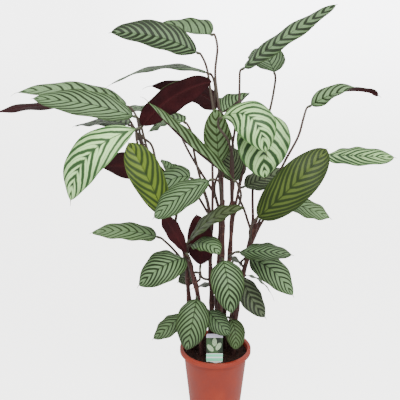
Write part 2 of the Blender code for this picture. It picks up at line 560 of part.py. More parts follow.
def petiole_course(leaf, cane):
    """From the heart of the cane, through the petiole's bends and its knuckle, to the blade's base."""
    near = min(range(len(cane) - 1), key=lambda k: abs(cane[k].z - leaf.joins))
    start = cane[near]
    leave = start + (cane[near + 1] - cane[near]).normalized() * SHEATH_LENGTH
    base, along = midrib(leaf, 0)
    level = (along - Vector((0, 0, min(along.z, 0) * 0.8))).normalized()
    knuckle = base - level * PULVINUS_LENGTH
    bends = [Vector(bend) for bend in leaf.bends]
    climb = knuckle - (bends[-1] if bends else start)
    arch = knuckle - (climb.normalized() + level * 0.5).normalized() * climb.length * 0.3
    curve = smooth_curve([start, leave] + bends + [arch, knuckle], 8)
    lengths = [1 - (1 - step / PETIOLE_STEPS) ** 1.4 for step in range(PETIOLE_STEPS + 1)]
    return resample(curve, lengths) + [base - along * 0.004, base - along * GAP]


def make_cane(cane):
    """A cane with the petioles of its leaves, joined into one body."""
    course = cane_course(cane)
    stem = tube(course, cane_radii(course), CANE_SIDES)
    body = add_object(cane, stem, "cane", math.radians(50), origin=course[0])
    petioles = []
    for name, leaf in LEAVES.items():
        if leaf.cane != cane:
            continue
        points = petiole_course(leaf, cane_course(cane, 60))
        taper = PETIOLE_TOP_RADIUS - PETIOLE_FOOT_RADIUS
        radii = [PETIOLE_FOOT_RADIUS + taper * step / PETIOLE_STEPS for step in range(PETIOLE_STEPS + 1)]
        radii += [PULVINUS_RADIUS, PETIOLE_TOP_RADIUS]
        petioles.append(add_object(name + "_petiole", tube(points, radii, PETIOLE_SIDES)))
    combine(body, petioles, "UNION", "MANIFOLD")


def build():
    clear_scene()
    make_pot()
    slots = [make_label()]
    slots += [cane_cutter(cane) for cane in CANES]
    make_soil(slots)
    for cane in CANES:
        make_cane(cane)
    for number, (name, leaf) in enumerate(LEAVES.items()):
        make_blade(name, leaf, phase=number * 0.37)
    plant = bpy.data.objects.new("potted_ctenanthe", None)
    pieces = list(bpy.context.scene.objects)
    bpy.context.scene.collection.objects.link(plant)
    for piece in pieces:
        piece.parent = plant


build()
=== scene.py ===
import math
import random
from collections import namedtuple

import bpy
from mathutils import Matrix, Vector, noise


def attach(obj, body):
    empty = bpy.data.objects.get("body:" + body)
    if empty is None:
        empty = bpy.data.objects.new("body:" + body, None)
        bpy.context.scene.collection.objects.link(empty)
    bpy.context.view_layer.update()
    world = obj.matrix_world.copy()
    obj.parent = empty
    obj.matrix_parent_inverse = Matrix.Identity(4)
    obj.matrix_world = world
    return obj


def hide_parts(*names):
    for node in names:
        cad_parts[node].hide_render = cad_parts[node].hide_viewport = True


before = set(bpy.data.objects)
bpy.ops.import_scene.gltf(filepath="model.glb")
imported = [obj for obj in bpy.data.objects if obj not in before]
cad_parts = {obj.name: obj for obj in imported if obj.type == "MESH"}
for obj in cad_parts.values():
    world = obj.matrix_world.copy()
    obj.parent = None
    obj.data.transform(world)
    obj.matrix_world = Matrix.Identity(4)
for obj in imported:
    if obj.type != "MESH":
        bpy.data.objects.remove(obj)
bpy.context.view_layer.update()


# ---- Pot ----
# A nursery pot of thin terracotta-coloured polypropylene, moulded in one piece: tapered wall, stacking ring,
# hooked lip, and eight drain holes in the floor. It is satin, with a slight mottle and fine scuffs.

class Socket:
    """A shader value that takes part in sums: each sum adds a Math node."""

    def __init__(self, finish, output):
        self.finish = finish
        self.output = output

    def math(self, operation, *values):
        return self.finish.add("Math", {"operation": operation}, dict(enumerate(values)))

    def __add__(self, other):
        return self.math("ADD", self, other)

    def __sub__(self, other):
        return self.math("SUBTRACT", self, other)

    def __rsub__(self, other):
        return self.math("SUBTRACT", other, self)

    def __mul__(self, other):
        return self.math("MULTIPLY", self, other)

    def __truediv__(self, other):
        return self.math("DIVIDE", self, other)

    def __pow__(self, other):
        return self.math("POWER", self, other)

    def __abs__(self):
        return self.math("ABSOLUTE", self)

    __radd__ = __add__
    __rmul__ = __mul__

    def sine(self):
        return self.math("SINE", self)

    def fraction(self):
        return self.math("FRACT", self)

    def larger(self, other):
        return self.math("MAXIMUM", self, other)

    def ramp(self, start, end):
        """0 before start, 1 after end, and smooth between them."""
        return self.finish.add("MapRange", {"interpolation_type": "SMOOTHSTEP"}, {0: self, 1: start, 2: end})


class Finish:
    """A new Principled material and what feeds it."""

    def __init__(self, name, **constants):
        self.material = bpy.data.materials.new(name)
        self.material.use_nodes = True
        self.tree = self.material.node_tree
        self.shader = self.tree.nodes["Principled BSDF"]
        for socket, value in constants.items():
            self.shader.inputs[socket.replace("_", " ")].default_value = value

    def join(self, target, value):
        if isinstance(value, Socket):
            self.tree.links.new(value.output, target)
        elif isinstance(value, tuple) and len(value) == 3 and target.type == "RGBA":
            target.default_value = (*value, 1.0)
        else:
            target.default_value = value

    def add(self, kind, settings=None, sockets=None, output=0):
        """A node of any kind: its settings first, then what goes into its sockets."""
        node = self.tree.nodes.new("ShaderNode" + kind)
        for name, value in (settings or {}).items():
            setattr(node, name, value)
        for name, value in (sockets or {}).items():
            self.join(node.inputs[name], value)
        return Socket(self, node.outputs[output])

    def mix(self, share, first, second):
        """A colour between two others. A Mix node has its colours in sockets 6 and 7, and output 2."""
        return self.add("Mix", {"data_type": "RGBA"}, {0: share, 6: first, 7: second}, output=2)

    def place(self):
        return self.add("TexCoord", output="Object")

    def axes(self, vector):
        return [self.add("SeparateXYZ", sockets={0: vector}, output=axis) for axis in "XYZ"]

    def times(self, vector, factors):
        """A vector or colour, each part times its own factor."""
        return self.add("VectorMath", {"operation": "MULTIPLY"}, {0: vector, 1: factors})

    def grain(self, vector, scale, detail=3.0):
        """Noise from 0 to 1."""
        return self.add("TexNoise", sockets={"Vector": vector, "Scale": scale, "Detail": detail})

    def finish(self, colour, roughness, height=None, depth=None):
        """Joins the colour, roughness and surface relief (in metres) to the shader."""
        self.join(self.shader.inputs["Base Color"], colour)
        self.join(self.shader.inputs["Roughness"], roughness)
        if height:
            bump = self.add("Bump", sockets={"Height": height, "Distance": depth, "Strength": 1.0})
            self.join(self.shader.inputs["Normal"], bump)
        return self.material


def start_piece():
    """Deselects everything, so that an operator only works on what it makes."""
    bpy.ops.object.select_all(action="DESELECT")


def select_alone(thing):
    """Makes one thing the only selected one, and the active one."""
    start_piece()
    bpy.context.view_layer.objects.active = thing
    thing.select_set(True)


def turned_body(name, sides, outline):
    """A closed round body: a disc is extruded from ring to ring of its (radius, height) outline."""
    start_piece()
    radius, height = outline[0]
    bpy.ops.mesh.primitive_circle_add(vertices=sides, radius=radius, fill_type="NGON",
                                      location=(0, 0, height))
    body = bpy.context.object
    body.name = name
    bpy.ops.object.transform_apply()
    bpy.ops.object.mode_set(mode="EDIT")
    bpy.ops.mesh.select_all(action="SELECT")
    for next_radius, next_height in outline[1:]:
        bpy.ops.mesh.extrude_region_move(TRANSFORM_OT_translate={"value": (0, 0, next_height - height)})
        share = next_radius / radius
        bpy.ops.transform.resize(value=(share, share, 1), center_override=(0, 0, next_height))
        radius, height = next_radius, next_height
    bpy.ops.mesh.select_all(action="SELECT")
    bpy.ops.mesh.normals_make_consistent(inside=False)
    bpy.ops.object.mode_set(mode="OBJECT")
    return body


def apply_modifier(thing, kind, **settings):
    """Adds a modifier to a thing, sets it and applies it."""
    select_alone(thing)
    modifier = thing.modifiers.new(kind.lower(), kind)
    for name, value in settings.items():
        setattr(modifier, name, value)
    bpy.ops.object.modifier_apply(modifier=modifier.name)


def smooth(thing, degrees):
    """Shades a thing smooth, but for the edges that are sharper than an angle."""
    select_alone(thing)
    bpy.ops.object.shade_smooth_by_angle(angle=math.radians(degrees))


# Lengths are in metres, and colours in linear light.
POT_HEIGHT = 0.175
POT_FOOT_RADIUS = 0.068
POT_FLARE = 0.0185
POT_WALL = 0.0018
POT_FLOOR = 0.003
STACKING_RING = 0.0003
LIP_RADIUS = 0.095
DRAIN_HOLES = 8
DRAIN_CIRCLE = 0.048
DRAIN_RADIUS = 0.005


def pot_radius(height):
    """The radius of the pot's tapered wall, outside."""
    return POT_FOOT_RADIUS + POT_FLARE * height / POT_HEIGHT


pot = turned_body("nursery_pot", sides=120, outline=[
    # The foot, and the wall up to the lip with its stacking ring
    (0.0655, 0.0), (0.0668, 0.0004), (0.0678, 0.0015), (pot_radius(0.004), 0.004),
    (pot_radius(0.147) - 0.0002, 0.147), (pot_radius(0.148) + STACKING_RING, 0.1483),
    (pot_radius(0.150) + STACKING_RING, 0.150), (pot_radius(0.170), 0.170), (0.0872, 0.1718),
    # The hooked lip: its underside, its skirt, and its rounded top over a fine groove
    (0.0880, 0.1722), (0.0932, 0.1722), (0.0932, 0.164), (0.0936, 0.1637), (0.0947, 0.1638),
    (LIP_RADIUS, 0.1643), (LIP_RADIUS, 0.1712), (0.0945, 0.1716), (0.0945, 0.1722), (LIP_RADIUS, 0.1726),
    (0.0946, 0.1742), (0.0935, POT_HEIGHT), (0.0880, POT_HEIGHT), (0.0862, 0.1744),
    # The inner side, down to the floor
    (0.0850, 0.1722), (pot_radius(0.165) - POT_WALL, 0.165), (pot_radius(0.010) - POT_WALL, 0.010),
    (pot_radius(0.006) - POT_WALL - 0.001, 0.0045), (0.062, POT_FLOOR),
])
start_piece()
for hole in range(DRAIN_HOLES):
    angle = math.tau * (hole + 0.5) / DRAIN_HOLES
    spot = (DRAIN_CIRCLE * math.cos(angle), DRAIN_CIRCLE * math.sin(angle), POT_FLOOR / 2)
    bpy.ops.mesh.primitive_cylinder_add(vertices=32, radius=DRAIN_RADIUS, depth=0.012, location=spot)
    drill = bpy.context.object
    apply_modifier(pot, "BOOLEAN", object=drill, operation="DIFFERENCE", solver="EXACT")
    bpy.data.objects.remove(drill)
smooth(pot, degrees=30)

TERRACOTTA = (0.242, 0.022, 0.008)
BRIGHT_TERRACOTTA = (0.301, 0.027, 0.006)
POT_DUST = (0.347, 0.055, 0.023)
plastic = Finish("terracotta_plastic", Specular_IOR_Level=0.45)
spot = plastic.place()
mottle = plastic.grain(spot, scale=22.0, detail=5.0)
scuffs = plastic.grain(plastic.times(spot, (60.0, 60.0, 900.0)), scale=1.0, detail=2.0)
dust = plastic.axes(spot)[2].ramp(0.05, 0.0) * 0.25 + mottle.ramp(0.55, 0.8) * 0.35
colour = plastic.mix(mottle.ramp(0.35, 0.7), TERRACOTTA, BRIGHT_TERRACOTTA)
colour = plastic.mix(dust, colour, POT_DUST)
pot.data.materials.clear()
pot.data.materials.append(plastic.finish(colour, 0.42 + mottle * 0.16, scuffs * 0.4 + mottle, depth=0.00006))
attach(pot, "root")
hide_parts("pot")


# ---- Soil ----
# Dark peaty potting mix that fills the pot to 12 mm below the lip. Its top is crumbly and uneven, with
# bits of bark and a few pale specks, and every cane and the label stand in a hole of their own in it.

# The points that each cane's middle line runs through, from the soil up
CANES = {
    "cane_a": [(-0.055, 0.015, 0.13), (-0.07, 0.005, 0.31), (-0.075, -0.01, 0.405), (-0.08, -0.02, 0.445)],
    "cane_b": [(-0.035, -0.02, 0.13), (-0.045, -0.025, 0.32), (-0.065, -0.035, 0.415),
               (-0.085, -0.045, 0.475), (-0.115, -0.06, 0.55)],
    "cane_c": [(-0.015, 0.02, 0.13), (-0.01, 0.01, 0.295), (-0.015, 0, 0.43), (-0.01, -0.01, 0.545)],
    "cane_d": [(0.01, -0.025, 0.13), (0.01, -0.03, 0.315), (0.015, -0.035, 0.445), (0.015, -0.035, 0.59)],
    "cane_e": [(0.02, 0.02, 0.13), (0.025, 0.015, 0.295), (0.035, -0.01, 0.445), (0.04, -0.025, 0.585)],
    "cane_f": [(0.035, 0, 0.13), (0.045, 0.005, 0.275), (0.075, 0.01, 0.395), (0.095, 0.01, 0.525)],
    "cane_g": [(0.045, -0.02, 0.13), (0.055, -0.03, 0.315), (0.075, -0.045, 0.435), (0.095, -0.065, 0.54)],
    "cane_h": [(0.005, 0.045, 0.13), (0.005, 0.045, 0.28), (0.01, 0.045, 0.435), (0.015, 0.04, 0.59)],
}
CANE_RADIUS = 0.0082
CANE_TAPER = 0.0032
JOINT_SPACING = 0.075
JOINT_SWELL = 0.12
HOLE_ROOM = 0.0006
HOLE_TOP = 0.185
LABEL_FOOT = Vector((-0.0035, -0.060, 0.1652))
LABEL_LEAN = math.radians(7)
STAKE_HOLE = (0.0170, 0.0026, 0.110)
SOIL_TOP = 0.163
SOIL_RINGS = 42
SOIL_ROUNDING = 0.0008
# How close together the top's lumps are, and how high
SOIL_LUMPS = ((90, 0.0030), (330, 0.0011), (900, 0.0007))
GAP = 0.0003


def smooth_curve(points, steps):
    """Points along a smooth curve through the given ones, with so many steps between each two."""
    points = [Vector(p) for p in points]
    ends = [2 * points[0] - points[1]] + points + [2 * points[-1] - points[-2]]
    curve = []
    for a, b, c, d in zip(ends, ends[1:], ends[2:], ends[3:]):
        for step in range(steps):
            t = step / steps
            curve.append(0.5 * (2 * b + (c - a) * t + (2 * a - 5 * b + 4 * c - d) * t ** 2
                                + (3 * b - a - 3 * c + d) * t ** 3))
    curve.append(points[-1])
    return curve


def resample(curve, shares):
    """The curve's points at the given shares of its length."""
    lengths = [0.0]
    for a, b in zip(curve, curve[1:]):
        lengths.append(lengths[-1] + (b - a).length)
    points = []
    for share in shares:
        want = lengths[-1] * share
        k = max(i for i in range(len(curve) - 1) if lengths[i] <= want + 1e-9)
        part = (want - lengths[k]) / (lengths[k + 1] - lengths[k])
        points.append(curve[k].lerp(curve[k + 1], min(part, 1.0)))
    return points


def cane_course(cane, steps):
    """The middle line of a cane, in so many equal steps."""
    return resample(smooth_curve(CANES[cane], 12), [step / steps for step in range(steps + 1)])


def cane_radius(share, height):
    """A cane tapers upwards and swells a little at each joint."""
    swell = JOINT_SWELL * math.cos(math.tau * height / JOINT_SPACING)
    return (CANE_RADIUS - CANE_TAPER * share) * (1 + swell)


def drawn_stem(name, course, radii, resolution):
    """A round stem: a curve with a radius of its own at each point, made a closed mesh."""
    line = bpy.data.curves.new(name, "CURVE")
    line.dimensions = "3D"
    line.twist_mode = "MINIMUM"
    line.bevel_depth = 1.0
    line.bevel_resolution = resolution
    line.use_fill_caps = True
    spline = line.splines.new("POLY")
    spline.points.add(len(course) - 1)
    for spot, point, radius in zip(spline.points, course, radii):
        spot.co = (*point, 1.0)
        spot.radius = radius
    stem = bpy.data.objects.new(name, line)
    bpy.context.scene.collection.objects.link(stem)
    select_alone(stem)
    bpy.ops.object.convert(target="MESH")
    bpy.ops.object.mode_set(mode="EDIT")
    bpy.ops.mesh.select_all(action="SELECT")
    bpy.ops.mesh.remove_doubles(threshold=0.00001)
    bpy.ops.mesh.normals_make_consistent(inside=False)
    bpy.ops.object.mode_set(mode="OBJECT")
    return bpy.context.object


def cane_hole(cane):
    """The cane's hole in the soil: the cane's own course, a little wider and deeper."""
    course = [point for point in cane_course(cane, 100) if point.z < HOLE_TOP]
    radii = [cane_radius(step / 100, point.z) + HOLE_ROOM for step, point in enumerate(course)]
    down = (course[0] - course[1]).normalized()
    return drawn_stem("cane_hole", [course[0] + down * GAP] + course[1:], radii, resolution=6)


def join_pieces(parts, whole):
    """Makes the parts belong to the whole, as one mesh."""
    start_piece()
    for part in [*parts, whole]:
        part.select_set(True)
    bpy.context.view_layer.objects.active = whole
    bpy.ops.object.join()


SOIL_EDGE = pot_radius(SOIL_TOP) - POT_WALL - GAP
soil = turned_body("potting_soil", sides=120, outline=[
    (0.060, POT_FLOOR + GAP),
    (pot_radius(0.010) - POT_WALL - GAP, 0.011),
    (SOIL_EDGE, SOIL_TOP - 0.0015),
    (SOIL_EDGE - SOIL_ROUNDING, SOIL_TOP),
    *((SOIL_EDGE * (1 - ring / SOIL_RINGS) - SOIL_ROUNDING, SOIL_TOP) for ring in range(1, SOIL_RINGS)),
])
for vertex in soil.data.vertices:
    spot = vertex.co
    if spot.z > SOIL_TOP - GAP and spot.xy.length < SOIL_EDGE - 0.001:
        spot.z += sum(noise.noise(spot * closeness) * lump for closeness, lump in SOIL_LUMPS)
start_piece()
bpy.ops.mesh.primitive_cube_add(size=1)
stake_hole = bpy.context.object
stake_hole.dimensions = STAKE_HOLE
stake_hole.rotation_euler = (-LABEL_LEAN, 0, 0)
stake_hole.location = LABEL_FOOT
for cutter in [stake_hole, *map(cane_hole, CANES)]:
    apply_modifier(soil, "BOOLEAN", object=cutter, operation="DIFFERENCE", solver="EXACT")
    bpy.data.objects.remove(cutter)

# Crumbs of bark and peat lie pressed into the top, clear of the canes and the label.
CRUMBS = 230
CRUMB_SPREAD = 0.080
CANE_CLEARANCE = 0.012
LABEL_CLEARANCE = Vector((0.014, 0.006))
CRUMB_TILT = Vector((1, 1, 0.5)).normalized()
crumb_dice = random.Random(7)
feet = [cane_course(cane, 100) for cane in CANES]
feet = [min(course, key=lambda point: abs(point.z - SOIL_TOP)) for course in feet]
start_piece()
bpy.ops.mesh.primitive_ico_sphere_add(subdivisions=1, radius=1.0)
crumb = bpy.context.object
crumbs = []
while len(crumbs) < CRUMBS:
    angle = crumb_dice.uniform(0, math.tau)
    spot = Vector((math.cos(angle), math.sin(angle), 0)) * CRUMB_SPREAD * math.sqrt(crumb_dice.random())
    spot.z = SOIL_TOP + crumb_dice.uniform(-0.0004, 0.0012)
    size = crumb_dice.uniform(0.0010, 0.0030)
    from_label = spot - LABEL_FOOT
    if abs(from_label.x) < LABEL_CLEARANCE.x and abs(from_label.y) < LABEL_CLEARANCE.y:
        continue
    if any((foot.xy - spot.xy).length <= CANE_CLEARANCE for foot in feet):
        continue
    bit = crumb.copy()
    bit.data = crumb.data.copy()
    bpy.context.scene.collection.objects.link(bit)
    turn = Matrix.Rotation(crumb_dice.uniform(0, math.tau), 4, CRUMB_TILT)
    long, flat = crumb_dice.uniform(0.5, 1.5), crumb_dice.uniform(0.35, 0.7)
    shape = Matrix.Diagonal((size * long, size, size * flat, 1))
    for vertex in bit.data.vertices:
        vertex.co *= 1 + 0.35 * noise.noise(vertex.co * 1.7 + spot * 900)
    bit.data.transform(Matrix.Translation(spot) @ turn @ shape)
    crumbs.append(bit)
bpy.data.objects.remove(crumb)
join_pieces(crumbs, soil)
smooth(soil, degrees=50)

BLACK_PEAT = (0.011, 0.004, 0.003)
BROWN_PEAT = (0.030, 0.011, 0.007)
PALE_SPECK = (0.080, 0.060, 0.043)
peat = Finish("potting_mix", Specular_IOR_Level=0.15)
spot = peat.place()
lump = peat.grain(spot, scale=160.0, detail=6.0)
speck = peat.grain(spot, scale=420.0, detail=2.0)
colour = peat.mix(lump.ramp(0.35, 0.7), BLACK_PEAT, BROWN_PEAT)
colour = peat.mix(speck.ramp(0.68, 0.76) * 0.6, colour, PALE_SPECK)
soil.data.materials.clear()
soil.data.materials.append(peat.finish(colour, 0.85 + lump * 0.1, lump + speck * 0.4, depth=0.0012))
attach(soil, "root")
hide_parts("soil")


# ---- Label ----
# A printed tag die-cut from 1.2 mm white plastic, pushed into the soil by its own tapered stake. The print
# is a plain design: three pale striped ovals on a dark green panel, under a lilac head and over a mint foot.

def pick(thing, wanted, kind="polygons"):
    """Goes to edit mode with only the faces, or the edges, selected whose middle and normal pass a test."""
    bpy.ops.object.mode_set(mode="OBJECT")
    mesh = thing.data
    bpy.context.tool_settings.mesh_select_mode = (False, kind == "edges", kind == "polygons")
    for group in (mesh.vertices, mesh.edges, mesh.polygons):
        group.foreach_set("select", [False] * len(group))
    for item in getattr(mesh, kind):
        ends = [mesh.vertices[corner].co for corner in item.vertices]
        middle = sum(ends, Vector()) / len(ends)
        item.select = wanted(middle, item.normal if kind == "polygons" else ends[1] - ends[0])
    bpy.ops.object.mode_set(mode="EDIT")


TAG_WIDTH = 0.0424
TAG_THICKNESS = 0.0012
TAG_HEIGHT = 0.073
TAG_MIDDLE = 0.0375
TAG_TOP = TAG_MIDDLE + TAG_HEIGHT / 2
# How far each step of the stake goes down, and its width there
STAKE_STEPS = ((0.0022, 0.0392), (0.0055, 0.0176), (0.0300, 0.016), (0.0083, 0.0044), (0.0022, 0.0010))
start_piece()
bpy.ops.mesh.primitive_cube_add(size=1, location=(0, 0, TAG_MIDDLE))
tag = bpy.context.object
tag.name = "plant_label"
tag.scale = (TAG_WIDTH, TAG_THICKNESS, TAG_HEIGHT)
bpy.ops.object.transform_apply()
# The stake is drawn out of the tag's lower face, and the two upper corners are rounded.
pick(tag, lambda middle, normal: normal.z < -0.9)
width = TAG_WIDTH
for drop, next_width in STAKE_STEPS:
    bpy.ops.mesh.extrude_region_move(TRANSFORM_OT_translate={"value": (0, 0, -drop)})
    bpy.ops.transform.resize(value=(next_width / width, 1, 1))
    width = next_width
pick(tag, lambda middle, run: middle.z > TAG_TOP - 0.001 and abs(run.y) > TAG_THICKNESS / 2, "edges")
bpy.ops.mesh.bevel(offset=0.003, segments=6, affect="EDGES")
bpy.ops.object.mode_set(mode="OBJECT")
apply_modifier(tag, "BEVEL", width=0.00012, segments=2, limit_method="ANGLE")
smooth(tag, degrees=30)
layer = tag.data.attributes.new("print", "FLOAT_VECTOR", "POINT")
for vertex, place in zip(tag.data.vertices, layer.data):
    place.vector = vertex.co
tag.data.transform(Matrix.Translation(LABEL_FOOT) @ Matrix.Rotation(-LABEL_LEAN, 4, "X"))

WHITE_CARD = (0.920, 0.920, 0.920)
LILAC_INK = (0.762, 0.701, 0.920)
MINT_INK = (0.227, 0.837, 0.508)
PALE_INK = (0.690, 0.920, 0.569)
DEEP_GREEN_INK = (0.014, 0.026, 0.014)
MID_GREEN_INK = (0.049, 0.101, 0.041)
VEIN_INK = (0.028, 0.074, 0.027)
HEAD_FOOT = 0.0644
PANEL_TOP = 0.0638
PANEL_FOOT = 0.0214
FOOT_TOP = 0.0198
LINE_TOP = 0.0124
LINE_FOOT = 0.0088
STAKE_TOP = 0.0006
INK_BLEED = 0.0002
OVAL_LENGTH = 0.0115
OVAL_WIDTH = 0.0058
# Each oval's lean, and its middle across the tag and up it
OVALS = ((-0.7, -0.011, 0.036), (0.5, 0.010, 0.040), (0.0, 0.000, 0.052))
card = Finish("printed_label", Specular_IOR_Level=0.4)
spot = card.add("Attribute", {"attribute_name": "print"}, output="Vector")
x, y, z = card.axes(spot)
paper = card.grain(spot, scale=900.0, detail=2.0)


def above(level):
    """1 where the tag is higher than a level."""
    return z.ramp(level - INK_BLEED, level + INK_BLEED)


def below(level):
    """1 where the tag is lower than a level."""
    return z.ramp(level + INK_BLEED, level - INK_BLEED)


def oval(centre_x, centre_z, lean):
    """1 inside a leaning oval on the tag, and how far a point is along the oval and across it."""
    dx, dz = x - centre_x, z - centre_z
    along = dx * math.sin(lean) + dz * math.cos(lean)
    across = dx * math.cos(lean) - dz * math.sin(lean)
    reach = (along / OVAL_LENGTH) ** 2 + (across / OVAL_WIDTH) ** 2
    return reach.ramp(1.06, 0.94), along, abs(across)


printed = card.mix(above(HEAD_FOOT), WHITE_CARD, LILAC_INK)
picture = card.mix((x * 130 + z * 70).sine().ramp(-0.6, 0.9), DEEP_GREEN_INK, MID_GREEN_INK)
for lean, centre_x, centre_z in OVALS:
    inside, along, across = oval(centre_x, centre_z, lean)
    stripes = ((along - across * 0.8) * 2400).sine().ramp(-0.3, 0.3)
    picture = card.mix(inside, picture, card.mix(stripes, VEIN_INK, PALE_INK))
printed = card.mix(above(PANEL_FOOT) * below(PANEL_TOP), printed, picture)
printed = card.mix(below(FOOT_TOP), printed, MINT_INK)
printed = card.mix(below(LINE_TOP) * above(LINE_FOOT), printed, WHITE_CARD)
printed = card.mix(below(STAKE_TOP), printed, WHITE_CARD)
printed_side = y.ramp(-0.0003, -0.0004)
printed = card.mix(printed_side, WHITE_CARD, printed)
tag.data.materials.append(card.finish(printed, 0.3 + paper * 0.1, paper, depth=0.00002))
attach(tag, "root")
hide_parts("label")


# ---- Canes and petioles ----
# Reddish-brown canes of leaf sheaths wrapped round a stem, with a ring at each joint. Each leaf has one long
# thin petiole that leaves its cane and ends in a short swollen knuckle at the blade. Both are one body.

# Each leaf, line by line:
# - the height at which its petiole leaves its cane, and the points that the petiole bends through
# - the base, middle and tip of the blade's midrib, and the blade's width
# - the way its upper side faces, how far its halves fold up and its edges droop, where it is widest, and
#   how pointed its base and tip are
# - its colour, how many stripes a side has, how broad they are and how far they lean, and its shade, a
#   brightness factor that is partly the leaf's own tone and partly painted light and shade; then, where they
#   differ from most leaves', its yellowness, the length of its drip tip and its twist
Leaf = namedtuple("Leaf", "joins bends base middle tip width face fold droop widest ends tone stripes band "
                          "lean shade yellow drip twist", defaults=(0, 0.006, 0))

